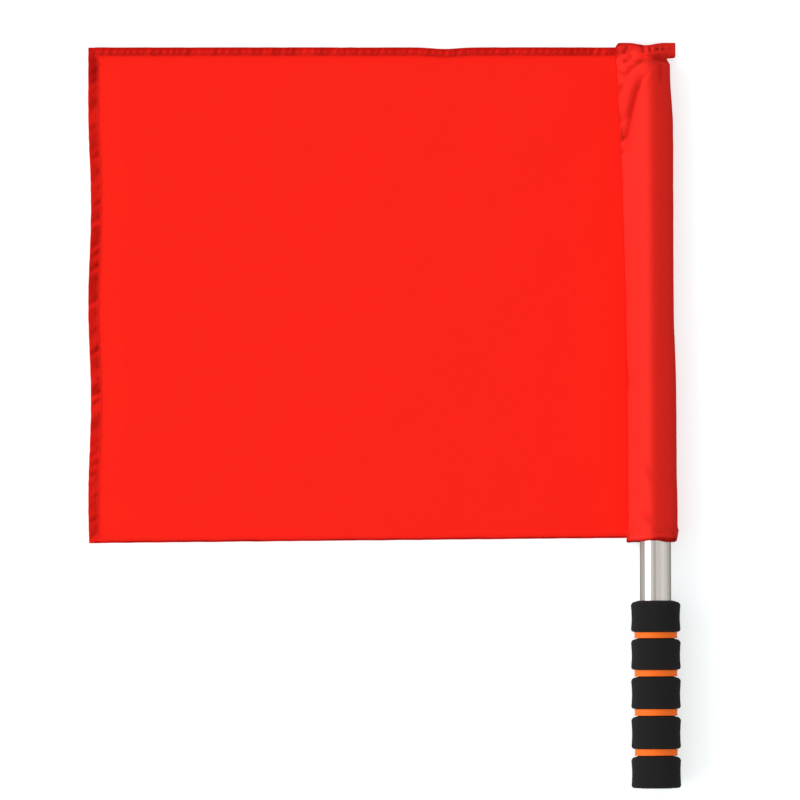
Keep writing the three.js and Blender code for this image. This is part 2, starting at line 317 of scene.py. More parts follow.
steel = steel_material()
foam = foam_material()
orange = moulded_material("orange_ring", RING_ORANGE, RING_ROUGHNESS, MOULDED_GRAIN, RING_SPECULAR)
plug_black = moulded_material("black_plug", PLUG_BLACK, PLUG_ROUGHNESS, MOULDED_GRAIN)
panel_red = cloth_material("red_panel_cloth", PANEL_RED, PANEL_PAINTED_SHADE_RED)
pocket_red = cloth_material("red_pocket_cloth", POCKET_RED_PAINTED_SHEEN, POCKET_PAINTED_SHADE_RED)
hem_thread = moulded_material("red_hem_thread", HEM_THREAD_RED, THREAD_ROUGHNESS, THREAD_GRAIN)
pocket_thread = moulded_material("red_pocket_thread", POCKET_THREAD_RED, THREAD_ROUGHNESS, THREAD_GRAIN)


# Meshes

ROUND_STEPS = 144
ARC_STEPS = 8
TURN_STEP = 0.0012
TUBE_STEP = 0.004
GRIP_STEP = 0.0008


def placed(name, data):
    """A new object of the scene with this data."""
    thing = bpy.data.objects.new(name, data)
    bpy.context.scene.collection.objects.link(thing)
    return thing


def make_piece(name, points, faces, material, body, nodes=(), painted_shade=None, weave=None):
    """A closed mesh that rides on a body, takes a slot and stands for these nodes."""
    mesh = bpy.data.meshes.new(name)
    mesh.from_pydata(points.tolist(), [], faces)
    # Painted shade per point, which the cloth's material reads, and the weave's place on the cloth
    if painted_shade is not None:
        share = np.clip(painted_shade * PAINTED_SHADE_SHARE, 0, 1).astype(np.float32)
        place = weave.astype(np.float32).ravel()
        mesh.attributes.new("painted_shade", "FLOAT", "POINT").data.foreach_set("value", share)
        mesh.attributes.new("weave", "FLOAT_VECTOR", "POINT").data.foreach_set("vector", place)
    shaped = bmesh.new()
    shaped.from_mesh(mesh)
    bmesh.ops.recalc_face_normals(shaped, faces=shaped.faces)
    shaped.to_mesh(mesh)
    shaped.free()
    mesh.shade_smooth()
    mesh.materials.append(material)
    piece = placed(name, mesh)
    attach(piece, body)
    if nodes:
        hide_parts(*nodes)
    return piece


def ring_faces(rings, count, start=0, loop=False, closed=True):
    """Four-sided faces between rings of points. loop joins the last ring to the first."""
    faces = []
    for ring in range(rings if loop else rings - 1):
        here = start + ring * count
        there = start + (ring + 1) % rings * count
        for i in range(count if closed else count - 1):
            j = (i + 1) % count
            faces.append((here + i, here + j, there + j, there + i))
    return faces


def flat_cap(start, upper, lower):
    """Closes a pressed ring, whose lower line may have fewer points than its upper line."""
    faces = []
    end = start + upper + lower - 1
    low = 0
    for i in range(upper - 1):
        nearest = round((i + 1) * (lower - 1) / (upper - 1))
        beneath = (end - nearest, end - low) if nearest > low else (end - low,)
        faces.append((start + i, start + i + 1, *beneath))
        low = nearest
    return faces


def cloth_piece(name, rings, upper, material, painted_shade, nodes=(), weave=None):
    """A piece of cloth from pressed rings, with this count of points on their upper lines."""
    count = len(rings[0])
    points = np.vstack(rings)
    faces = ring_faces(len(rings), count)
    for start in (0, len(points) - count):
        faces += flat_cap(start, upper, count - upper)
    weave = points * (1, 1, 0) if weave is None else weave
    return make_piece(name, points, faces, material, FLAG, nodes, painted_shade, weave)


def way_along(points):
    """How far along a line each of its points is."""
    return np.concatenate([[0], np.cumsum(np.linalg.norm(np.diff(points, axis=0), axis=1))])


def read_off(at, length, points):
    """Places on a line at these lengths along it."""
    return np.column_stack([np.interp(at, length, column) for column in points.T])


def arc(radius, place, size, from_degrees, to_degrees, steps=ARC_STEPS):
    """Points of an arc of this size about (radius, place), in a turned profile."""
    angles = np.radians(np.linspace(from_degrees, to_degrees, steps + 1))
    return [(radius + size * math.cos(a), place + size * math.sin(a)) for a in angles]


def waisted(radius, low, high, depth, steps):
    """The side of a turned profile, drawn in by this depth at its middle."""
    shares = [i / steps for i in range(1, steps)]
    return [(radius - depth * math.sin(math.pi * share), low + (high - low) * share) for share in shares]


def filled_in(profile, step, closed):
    """The profile with points added along its long straight stretches, crowded towards their ends."""
    result = []
    for (r0, p0), (r1, p1) in zip(profile, profile[1:] + profile[:closed]):
        result.append((r0, p0))
        extra = int(math.hypot(r1 - r0, p1 - p0) / step)
        for i in range(extra):
            share = 0.5 - 0.5 * math.cos(math.pi * (i + 1) / (extra + 1))
            result.append((r0 + (r1 - r0) * share, p0 + (p1 - p0) * share))
    return result if closed else result + profile[-1:]


def turned(name, profile, material, nodes, step=TURN_STEP, change=None):
    """A piece on the stick, turned from (radius, place) points that close on themselves or on the axis."""
    solid = profile[0][0] == 0 and profile[-1][0] == 0
    outline = np.array(filled_in(profile, step, closed=not solid))
    radius, place = (outline[1:-1] if solid else outline).T
    angles = np.arange(ROUND_STEPS) * 2 * math.pi / ROUND_STEPS
    around, along = np.meshgrid(angles, place, indexing="ij")
    wide = np.broadcast_to(radius, around.shape)
    if change is not None:
        wide = change(wide, along, around)
    points = (
        AXIS_POINT
        + along[..., None] * AXIS
        + (wide * np.cos(around))[..., None] * ACROSS
        + (wide * np.sin(around))[..., None] * UPWARD
    )
    count = len(radius)
    points = points.reshape(-1, 3)
    total = len(points)
    faces = ring_faces(ROUND_STEPS, count, loop=True, closed=not solid)
    if solid:
        points = np.vstack([points, AXIS_POINT + outline[[0, -1], 1:] * AXIS])
        for here in range(0, total, count):
            there = (here + count) % total
            faces.append((total, here, there))
            faces.append((total + 1, there + count - 1, here + count - 1))
    return make_piece(name, points, faces, material, STICK, nodes)


# Steel tube and plugs

TUBE_EDGE = 0.0002
PLUG_EDGE = 0.0005
PLUG_SLIDE = 0.0002
PLUG_WALL = 0.0024
PLUG_BLIND = 0.003
DOME_STEPS = 12
RIB_DEPTH = 0.00025
RIB_COUNT = 6
GATE_RADIUS = 0.0014
GATE_DEPTH = 0.0003


def add_tube():
    edge = TUBE_EDGE
    profile = [
        *arc(POLE_RADIUS - edge, tube_start + edge, edge, -90, 0),
        *arc(POLE_RADIUS - edge, tube_end - edge, edge, 0, 90),
        *arc(BORE_RADIUS + edge, tube_end - edge, edge, 90, 180),
        *arc(BORE_RADIUS + edge, tube_start + edge, edge, 180, 270),
    ]
    turned("steel_pole", profile, steel, ["pole_tube"], step=TUBE_STEP)


def add_plug(name, node, head, seat, end):
    """A plug from its head's outline: its ribbed insert runs from its seat to its open inner end."""
    outer = BORE_RADIUS - PLUG_SLIDE
    hollow = outer - PLUG_WALL
    sign = math.copysign(1, end - seat)
    points = [*head, (POLE_RADIUS, seat), (outer - RIB_DEPTH, seat)]
    for i in range(1, RIB_COUNT + 1):
        place = seat + (end - seat) * i / (RIB_COUNT + 1)
        for side in (-1, 0, 1):
            points.append((outer - abs(side) * RIB_DEPTH, place + side * sign * RIB_DEPTH * 2))
    blind = seat + sign * PLUG_BLIND
    points += [(outer - RIB_DEPTH, end), (hollow, end), (hollow, blind), (0, blind)]
    turned(name, points, plug_black, [node])


def add_plugs():
    low, high = reach("top_plug")[:2]
    seat = tube_end + PLUG_SLIDE
    dome = high - seat - PLUG_EDGE
    head = [(0, high)]
    for i in range(1, DOME_STEPS + 1):
        angle = math.pi / 2 * i / DOME_STEPS
        head.append((POLE_RADIUS * math.sin(angle), seat + PLUG_EDGE + dome * math.cos(angle)))
    add_plug("top_plug_moulding", "top_plug", head, seat, low)
    low, high = reach("butt_plug")[:2]
    gate = (GATE_RADIUS - GATE_DEPTH, low + GATE_DEPTH)
    edge = arc(POLE_RADIUS - PLUG_EDGE, low + PLUG_EDGE, PLUG_EDGE, -90, 0)
    head = [(0, low + GATE_DEPTH), gate, (GATE_RADIUS, low), *edge]
    add_plug("butt_plug_moulding", "butt_plug", head, tube_start - PLUG_SLIDE, high)


# Grip

# At the end towards the butt, and at the other end
FOAM_CORNERS = (0.0021, 0.0030)
FOAM_DOMES = (0.0002, 0.0008)
FOAM_WAIST = 0.00045
# Spacing and depth of the skin's dents and of its slow swell
FOAM_DENTS = (0.0011, 0.00005)
FOAM_SWELL = (0.011, 0.0001)
FOAM_PRESS = 0.00015
FOAM_END_STEPS = 6
FOAM_SIDE_STEPS = 20
BUTT_SINK = 0.0003
RING_PRESS = 0.0002
RING_EDGE = 0.0004
RING_WAIST = 0.0002
RING_SIDE_STEPS = 8


def foam_surface(seed):
    """How the foam's skin wanders: small dents and a slightly uneven rim."""

    def change(radius, along, around):
        outside = rise(radius, POLE_RADIUS, FOAM_CORNERS[0])
        girth = around * POLE_RADIUS * 2
        for number, (spacing, depth) in enumerate((FOAM_DENTS, FOAM_SWELL)):
            radius = radius + rumple(girth, along, spacing, seed + number) * depth * outside
        return radius

    return change


def foam_end(bore, rim, end, dome):
    """The domed end of a foam segment, from its bore to its rim."""
    shares = [i / FOAM_END_STEPS for i in range(FOAM_END_STEPS)]
    return [(bore + (rim - bore) * share, end + dome * share ** 2) for share in shares]


def foam_profile(bore, radius, low, high):
    """Half section of a foam segment: domed ends, round corners and a slight waist."""
    low_corner, high_corner = FOAM_CORNERS
    low_dome, high_dome = FOAM_DOMES
    first = low + low_dome + low_corner
    last = high - high_dome - high_corner
    return [
        *foam_end(bore, radius - low_corner, low, low_dome),
        *arc(radius - low_corner, first, low_corner, -90, 0),
        *waisted(radius, first, last, FOAM_WAIST, FOAM_SIDE_STEPS),
        *arc(radius - high_corner, last, high_corner, 0, 90),
        *foam_end(bore, radius - high_corner, high, -high_dome)[::-1],
    ]


def ring_profile(bore, radius, low, high):
    """Half section of an orange ring: round edges and a slight waist."""
    first = low + RING_EDGE
    last = high - RING_EDGE
    return [
        (bore, low),
        *arc(radius - RING_EDGE, first, RING_EDGE, -90, 0),
        *waisted(radius, first, last, RING_WAIST, RING_SIDE_STEPS),
        *arc(radius - RING_EDGE, last, RING_EDGE, 0, 90),
        (bore, high),
    ]


def add_grip():
    for number in range(1, 6):
        node = f"foam_sleeve_{number}"
        low, high, bore, radius = reach(node)
        low -= BUTT_SINK if number == 1 else FOAM_PRESS
        profile = foam_profile(bore, radius, low, high + FOAM_PRESS)
        piece = turned(f"foam_segment_{number}", profile, foam, [node], GRIP_STEP,
                       foam_surface(number * 10))
    for number in range(1, 5):
        node = f"grip_ring_{number}"
        low, high, bore, radius = reach(node)
        profile = ring_profile(bore, radius, low - RING_PRESS, high + RING_PRESS)
        turned(f"orange_band_{number}", profile, orange, [node], GRIP_STEP)


# Pocket

CLOTH = 0.00025
FLOOR_GAP = 0.00005
SEAM_GAP = 0.0003
SEAM_FLARE = 0.0085
SEAM_SHIFT = 0.0004
SEAM_CURVE_SHARE = 2.25
SCALLOP = 0.0004
SCALLOP_PITCH = 0.0046
TIP_GAP = 0.0042
FLANGE = 0.0015
FLANGE_RISE = 0.0008
FLANGE_INNER_SHARE = 0.2
WRAP_GAP = 0.0004
WRAP_STEPS = (24, 30)
STICK_GAP = 0.00015
STICK_LAG = 0.0004
TIP_SLACK = 0.0002
# Where the pocket widens beside the pole, from its tip: start, length and amount
SLACK_STEPS = ((0.0, 0.045, 0.0019), (0.165, 0.075, 0.0015), (0.25, 0.09, 0.0005))
UPPER_COUNT = 130
LOWER_COUNT = 90
RING_COUNT = UPPER_COUNT + LOWER_COUNT
SOFTEN = 0.0009

# Hem of the mouth
MOUTH_HEM = 0.0079
MOUTH_HEM_STEP = 0.0006
MOUTH_HEM_BESIDE = 0.0014
HEM_LAYERS = 0.0004
MOUTH_FLARE = 0.0008
FLARE_SHARE = 1.06
FLARE_REACH = 0.0014
LIP_REACH = 0.006
LIP_TUCK = 0.0009
LIP_TUCK_REACH = 0.0062
LIP_ROLL = 0.0006
LIP_ROLL_REACH = 0.0008
LIP_LOWER = 0.0007
LIP_RAISE = 0.0010
LIP_RAISE_PLACE = (0.0, 0.0095)
CORNER_RAISE = 0.0007
CORNER_WIDTH = 0.0014
MOUTH_WAVE = 0.0004
MOUTH_WAVE_PITCHES = (0.009, 0.0035)
MOUTH_WAVE_FINE_SHARE = 0.4
STITCH_GROOVE = 0.0004
GROOVE_WIDTH = 0.0007
# Level, spread and spacing of the pull of the stitches
STITCH_PULL = (0.7, 0.5, 0.0023)

# Sewn band that closes the pocket and lies over the pole's tip
BAND_HEIGHT = 0.0112
BAND_THICKNESS = 0.0015
BAND_FOLD = 0.0009
BAND_FOLD_SHARE = 0.06
BAND_RISE = 0.0090
BAND_END_RISE = 0.0026
BAND_END_STEP = 0.0002
BAND_END_SHARE = 0.62
BAND_DIP = 0.0018
BAND_DIP_POWER = 6
BAND_BESIDE = 0.0048
BAND_SLANT = 0.0022
BAND_CORNER = 0.0020
BAND_STITCH = 0.0050
SLIT_BESIDE = -0.0012
SLIT_DEPTH = 0.0016
SLIT_SHARE = 0.3

# Slanted puckers beside the seam, and the drape of the plain cloth
PUCKER_PITCH = 0.0066
PUCKER_REACH = 0.0022
PUCKER_SLANT = 0.9
PUCKER_HEIGHT = 0.0009
PUCKER_FROM = 0.008
PUCKER_FADE = (0.050, 0.035)
PUCKER_LEFT_SHARE = 0.25
DRAPE = 0.00022
DRAPE_PITCHES = (0.021, 0.009)
DRAPE_FINE_SHARE = 0.3
CALM_EDGE = 0.0015

# Tones of painted shade, and below 0 of painted highlight: the cloth's turn from the light, its underside,
# its rim, grooves, puckers and the band.
# A place and a run, or two values between which the tone goes, are pairs
RIGHT_TONE = 0.56
RIGHT_RISE = (-0.0074, 0.0088)
RIGHT_CREST = (0.0020, 0.0070)
RIGHT_CREST_TONE = 0.2
STEEP_TONE = 0.35
STEEP_ANGLE = 0.75
BELOW_TONE = 0.42
EDGE_TONE = 1.25
MOUTH_RIM = (0.0028, 0.0046)
MOUTH_RIM_RISE = (-0.004, 0.008)
GROOVE_TONE = 0.12
GROOVE_RISE = (-0.006, 0.006)
PUCKER_TONE = 0.65
BAND_TONES = (0.56, 0.40)
BAND_TONE_RISE = (0.0008, 0.0034)
BAND_TOP_TONES = (0.4, 0.05)
BAND_TOP_RISE = (-0.0026, 0.0014)
BAND_RIGHTWARD = (0.35, 0.3)
BAND_END_TONE = 0.5
BAND_END_WIDTH = 0.0014
BAND_SLIT_RISE = 0.0024
BAND_START_TONE = 0.45
BAND_START_RISE = (-0.001, 0.002)
BAND_START_WIDTH = 0.0035

# Rings along the pocket: places from a line, or a gap and a step. Those of the hem have an end too
LIP_RINGS = (0, 0.0002, 0.0005)
HEM_RINGS = (0.001, 0.009, 0.0005)
PLAIN_RINGS = (0.0015, 0.0035)
PLAIN_END = 0.150
FOLD_RINGS = (0.0015, 0.0013)
FOLD_RINGS_END = 0.012
CLOSING_RINGS = (0.0006, 0.0006)
CLOSING_END = 0.0002
BAND_END_RINGS = (-0.0001, 0.0001, 0.0004, 0.0008, 0.0013, 0.0019)
BAND_RINGS = (0.0005, 0.0005)
BAND_RINGS_END = 0.0012
BAND_TOP_RINGS = (0.0009, 0.0006, 0.00035, 0.00015, 0)

# Hems of the panel
FLY_HEM = 0.0082
TOP_HEM = 0.0074
BOTTOM_HEM = 0.0026

panel_fly = panel_low[0]
panel_top = panel_high[1]
seam_mouth = panel_high[0] + SEAM_GAP - SEAM_SHIFT
mouth = sleeve_low[1]
band_top = sleeve_high[1]
band_bottom = band_top - BAND_HEIGHT
tip_y = band_bottom - TIP_GAP
tube_end_y = (AXIS_POINT + tube_end * AXIS)[1]
shoulder = tube_end_y + PLUG_EDGE


def axis_at(y):
    """The pole's axis where it crosses the upright plane at y, as x and z."""
    point = AXIS_POINT + (y - AXIS_POINT[1]) / AXIS[1] * AXIS
    return point[0], point[2]


def seam_at(y):
    """The seam between panel and pocket, as its x."""
    share = np.clip((np.asarray(y, float) - mouth) / (band_bottom - mouth), 0, None)
    return seam_mouth - SEAM_FLARE * share ** SEAM_CURVE_SHARE


def hem_at(y):
    """1 in the hem at the pocket's mouth, 0 beyond its stitches."""
    return fall(y - mouth, MOUTH_HEM, MOUTH_HEM_STEP)


def pocket_edge_at(y):
    """Where the pocket's cloth starts beside the panel: wider at its hem, slanted at the band's end."""
    slant = np.clip((y - panel_top) / (band_top - panel_top), 0, 1)
    scallop = SCALLOP * wobble(y, SCALLOP_PITCH / 2, seed=14) * fall(band_bottom - y, *PUCKER_FADE)
    return seam_at(y) - MOUTH_HEM_BESIDE * hem_at(y) + BAND_SLANT * slant ** 2 + scallop


def stick_radius(y):
    """Radius of the pole, or of its domed tip, at y; 0 beyond it."""
    along = (y - AXIS_POINT[1]) / AXIS[1]
    dome = tube_end + PLUG_SLIDE + PLUG_EDGE
    past = max(0.0, along - STICK_LAG - dome) / (pole_tip - dome)
    return POLE_RADIUS * math.sqrt(max(0.0, 1 - past ** 2))


def slack_at(y):
    """How far the pocket stands off the pole's right side."""
    return TIP_SLACK + sum(amount * rise(tip_y - y, start, length) for start, length, amount in SLACK_STEPS)


def evenly(points, count):
    """The line through these points, as count points spaced evenly along it."""
    length = way_along(points)
    return read_off(np.linspace(0, length[-1], count), length, points)


def softened(points, width):
    """The open line, smoothed over this width, with its ends kept."""
    step = np.linalg.norm(points[1] - points[0])
    half = max(1, int(3 * width / step))
    kernel = np.exp(-0.5 * (np.arange(-half, half + 1) * step / width) ** 2)
    kernel = kernel / kernel.sum()
    padded = np.vstack([2 * points[0] - points[half:0:-1], points, 2 * points[-1] - points[-2:-half - 2:-1]])
    return np.column_stack([np.convolve(column, kernel, mode="valid") for column in padded.T])


def drop_outline(y, inner, extra):
    """The pocket's outline at y, as x and z: over the pole from the seam, and back along the ground."""
    x, z = axis_at(y)
    cloth = CLOTH if inner else 0
    wrap = POLE_RADIUS + WRAP_GAP + CLOTH + extra - cloth
    wide = wrap + slack_at(y)
    edge = pocket_edge_at(y) + (FLANGE if inner else 0)
    foot = edge + (FLANGE_INNER_SHARE * FLANGE if inner else FLANGE)
    low = FLOOR_GAP + cloth
    top = FLOOR_GAP + FLANGE_RISE - cloth
    bearing = math.atan2(top - z, foot - x) % (2 * math.pi)
    start = bearing - math.acos(wrap / math.hypot(foot - x, top - z))

    def bend(width, height, first, last, steps):
        angles = np.linspace(first, last, steps)
        return np.column_stack([x + width * np.cos(angles), z + height * np.sin(angles)])

    left_steps, right_steps = WRAP_STEPS
    over = bend(wrap, wrap, start, math.pi / 2, left_steps)
    beyond = bend(wide, wrap, math.pi / 2, 0, right_steps)[1:]
    under = bend(wide, z - low, 0, -math.pi / 2, right_steps)
    above = softened(evenly(np.vstack([[(edge, top), (foot, top)], over, beyond]), UPPER_COUNT), SOFTEN)
    below = softened(evenly(np.vstack([under, [(edge, low)]]), LOWER_COUNT), SOFTEN)
    return np.vstack([above, below])


band_left = seam_at(band_bottom)
band_right = axis_at(band_top)[0] + POLE_RADIUS + BAND_BESIDE


def band_share(x):
    """How far along the sewn band x is, from 0 to 1."""
    return np.clip((x - band_left) / (band_right - band_left), 0, 1)


def band_centre(x):
    """Height of the middle of the sewn band at x: it arches over the pole's tip."""
    along = band_share(x)
    return FLOOR_GAP + BAND_THICKNESS / 2 + BAND_END_RISE * along + BAND_RISE * np.sin(math.pi * along) ** 2


def band_outline(y, inner):
    """The closed end pressed flat, with the same counts as drop_outline."""
    tuck = axis_at(y)[0] + POLE_RADIUS + SLIT_BESIDE
    past = y - band_bottom
    corner = between((BAND_END_SHARE, 1), rounded(past / BAND_CORNER))
    edge = pocket_edge_at(y)
    end = tuck + (band_right - tuck) * rise(past, 0, BAND_END_STEP) * corner
    half = BAND_THICKNESS / 2 * between((BAND_FOLD_SHARE, 1), rounded((band_top - y) / BAND_FOLD))
    if inner:
        edge = edge + FLANGE
        end = tuck - CLOTH
        half = CLOTH * SLIT_SHARE
    sides = []
    for line, side in ((np.linspace(edge, end, UPPER_COUNT), 1), (np.linspace(end, edge, LOWER_COUNT), -1)):
        round_edge = rounded(np.minimum(line - edge, end - line) / BAND_FOLD)
        sides.append(np.column_stack([line, band_centre(line) + side * half * round_edge]))
    return np.vstack(sides)


def outward(outline):
    """Unit directions out of a closed outline that runs clockwise seen from the mouth."""
    ahead = np.roll(outline, -1, axis=0) - np.roll(outline, 1, axis=0)
    out = np.column_stack([-ahead[:, 1], ahead[:, 0]])
    return out / np.maximum(np.linalg.norm(out, axis=1), TINY)[:, None]


# Folds pulled in by the sewing at the closed end. Each is a line of places in mm, left of the pole's
# axis and below the band's stitches, then its half width, its height and its tone of painted shade, and the
# shares of its length over which it grows and fades. Heights below 0 are valleys, tones above 0 are deeper
# painted shade, and tones below 0 painted highlight.
MM = 0.001
FOLDS_BELOW = 0.0099
FOLDS = (
    # The long fold that runs down to the seam, and the ridges beside it
    (((0.5, 6.5), (5.7, 10.7), (10.7, 16), (14.8, 26.9),
      (17.2, 37.5), (19.7, 51.7), (20.7, 65.8), (21.4, 84)), 3.1, -2.0, 0.96, 0.26, 0.60),
    (((-2.0, 10), (5.5, 17), (8.6, 27.5), (11.4, 38), (13.4, 50)), 2.4, 1.0, -0.12, 0.2, 0.5),
    (((1.6, 4.0), (8.3, 6.6), (14.8, 12.6), (18.7, 20), (20.4, 28)), 1.9, 1.4, -0.3, 0.15, 0.4),
    # Shorter folds above it
    (((3.5, -0.2), (8.6, 2.5), (11.4, 4.6), (16.3, 7.8), (20.4, 12.8), (22.6, 18)),
     2.1, -1.4, 0.68, 0.25, 0.3),
    (((12.3, 1.2), (17.2, 4.0), (20.6, 7.6), (22.6, 11.0)), 1.3, 0.8, -0.2, 0.2, 0.4),
    (((12.0, -2.6), (14.9, -0.6), (19.2, 2.2), (22.4, 4.0)), 1.6, -1.0, 0.65, 0.5, 0.15),
    (((24.8, 9.0), (21.0, 13.0)), 1.1, -0.5, 0.4, 0.3, 0.3),
    (((-4.4, 0.8), (-4.9, 6), (-5.0, 22)), 1.5, -0.25, 0.26, 0.3, 0.4),
    # Pleats of the band
    (((18.6, -8.2), (19.0, -6.4), (20.4, -3.9), (21.3, -1.4)), 1.0, -0.8, 0.55, 0.15, 0.25),
    (((24.2, -8.0), (22.6, -4.4)), 1.2, 0.5, -0.25, 0.3, 0.3),
    (((14.6, -5.4), (13.2, -2.6), (16.0, -0.4)), 2.8, 0.6, -0.5, 0.25, 0.25),
    (((9.6, -10.4), (7.9, -8.2), (7.2, -5.6), (6.3, -2.6)), 1.1, -0.8, 0.42, 0.1, 0.3),
    (((4.6, -9.6), (4.3, -6.0), (3.9, -1.8)), 0.9, 0.8, -0.45, 0.15, 0.3),
    (((2.4, -8.0), (2.2, -5.6), (2.1, -3.6)), 0.8, -0.6, 0.45, 0.3, 0.35),
    (((0.2, -8.6), (0.2, -5.9), (0.0, -3.4)), 0.9, 0.7, -0.5, 0.2, 0.35),
    (((-2.3, -6.9), (-3.0, -5.4), (-2.6, -4.0)), 1.1, -0.7, 0.8, 0.35, 0.4),
    (((-4.6, -9.4), (-4.8, -5.6), (-4.7, -2.6)), 0.7, 0.5, -0.25, 0.2, 0.3),
    (((-6.0, -6.4), (-6.9, -5.2), (-6.6, -3.9)), 1.0, -0.5, 0.6, 0.35, 0.4),
    (((-9.4, -9.2), (-9.8, -5.6), (-10.6, -2.6)), 1.3, 0.5, -0.2, 0.3, 0.3),
    (((-12.2, -7.6), (-12.4, -4.0)), 1.2, -0.3, 0.12, 0.4, 0.4),
    (((11.0, -1.8), (3.0, -2.6), (-3.0, -3.1), (-9.5, -3.3)), 0.8, 0.5, -0.3, 0.15, 0.1),
    (((4.6, -0.4), (-1.0, 0.2), (-6.0, 0.3), (-9.4, -0.2)), 1.5, -0.3, -0.06, 0.3, 0.15),
)
# Soft folds and small ones at the mouth's hem, in mm left of the axis and above the hem's edge, with the
# same columns; their tones are painted shade in the hollows
MOUTH_FOLDS = (
    (((19.4, 1.6), (19.1, 4.6), (19.0, 8.4)), 1.3, -0.3, 0.65, 0.15, 0.35),
    (((17.4, 4.6), (15.2, 7.4)), 0.8, -0.25, 0.35, 0.3, 0.3),
    (((21.0, 2.2), (19.6, 4.0)), 0.8, -0.3, 0.4, 0.3, 0.3),
    (((16.2, 4.2), (14.2, 5.6)), 0.8, -0.25, 0.35, 0.3, 0.3),
    (((12.4, 7.6), (10.8, 9.6)), 0.9, -0.25, 0.3, 0.3, 0.3),
    (((7.4, 7.4), (5.2, 7.9)), 0.8, -0.2, 0.25, 0.3, 0.3),
    (((2.0, 8.6), (0.2, 9.6)), 0.8, -0.25, 0.3, 0.3, 0.3),
    (((0.5, 7.6), (-8.0, 8.0), (-13.5, 7.8)), 1.7, -0.15, 0.14, 0.25, 0.1),
    (((-11.6, 4.4), (-13.6, 7.2)), 1.0, -0.2, 0.3, 0.3, 0.3),
    (((3.0, 11.0), (6.5, 16.0), (10.5, 24.0)), 3.0, -0.3, 0.45, 0.4, 0.5),
    (((2.5, 40.0), (5.5, 50.0), (8.5, 60.0)), 2.6, -0.3, 0.34, 0.4, 0.5),
    (((19.6, 100.0), (19.2, 118.0), (20.2, 136.0)), 1.6, -0.2, 0.36, 0.4, 0.4),
)


def fold_strength(left, down, line, width, grow, fade):
    """1 on a fold's line, less beside it and towards its two ends."""
    line = np.array(line) * MM
    length = way_along(line)
    nearest = np.full(len(left), 1.0)
    share = np.zeros(len(left))
    for start, end, gone, size in zip(line, line[1:], length, np.diff(length)):
        ahead = (end - start) / size
        along = np.clip((left - start[0]) * ahead[0] + (down - start[1]) * ahead[1], 0, size)
        away = np.hypot(left - start[0] - along * ahead[0], down - start[1] - along * ahead[1])
        share = np.where(away < nearest, (gone + along) / length[-1], share)
        nearest = np.minimum(away, nearest)
    return bell(nearest, 0, width) * rise(share, 0, grow) * rise(1 - share, 0, fade)


def folds_at(x, y):
    """How far the folds stand out at places on the pocket's upper side, and their tone."""
    left = axis_at(y)[0] - x
    height = np.zeros(len(x))
    tone = np.zeros(len(x))
    for table, along in ((FOLDS, band_top - FOLDS_BELOW - y), (MOUTH_FOLDS, y - mouth)):
        for line, width, stand, deep, grow, fade in table:
            strength = fold_strength(left, along, line, width * MM, grow, fade)
            height += stand * MM * strength
            tone += deep * strength
    return height, tone


def pucker_pull(y, beside):
    """The slanted puckers beside the seam, from -1 to 1, strongest near the closed end."""
    down = band_bottom - y
    pull = wobble(y - beside * PUCKER_SLANT, PUCKER_PITCH / 2, seed=8)
    pull = pull * bell(beside, PUCKER_REACH, PUCKER_REACH) * rise(down, PUCKER_FROM, PUCKER_FROM)
    return pull * between((PUCKER_LEFT_SHARE, 1), fall(down, *PUCKER_FADE))


def kept_clear(ring, y, upper, inner):
    """The ring's points as x and z, moved out of the pole and the ground where they would be in them."""
    x, z = axis_at(y)
    wide, high = ring.T
    least = stick_radius(y)
    if least > 0:
        least += STICK_GAP + (0 if inner else CLOTH)
        clear = np.sqrt(np.clip(least ** 2 - (wide - x) ** 2, 0, None))
        moved = np.where(upper, np.maximum(high, z + clear), np.minimum(high, z - clear))
        high = np.where(clear > 0, moved, high)
    return wide, np.maximum(high, FLOOR_GAP + (CLOTH if inner else 0))


def band_tones(y, wide, right, beside, plain):
    """Painted shade of the sewn band: it starts from the plain cloth's and is deeper at its edges and ends.
    """
    rightward = rise(band_share(wide), *BAND_RIGHTWARD)
    past = y - band_bottom
    slit = fall(past, 0, BAND_SLIT_RISE) * (right > POLE_RADIUS - SLIT_BESIDE)
    start = rise(y - panel_top + TOP_HEM, *BAND_START_RISE) * fall(beside, 0, BAND_START_WIDTH)
    return (
        between((plain, between(BAND_TONES, rightward)), rise(past, *BAND_TONE_RISE))
        + between(BAND_TOP_TONES, rightward) * rise(y - band_top, *BAND_TOP_RISE)
        + BAND_END_TONE * (fall(band_right - wide, 0, BAND_END_WIDTH) + slit)
        + BAND_START_TONE * start
    )


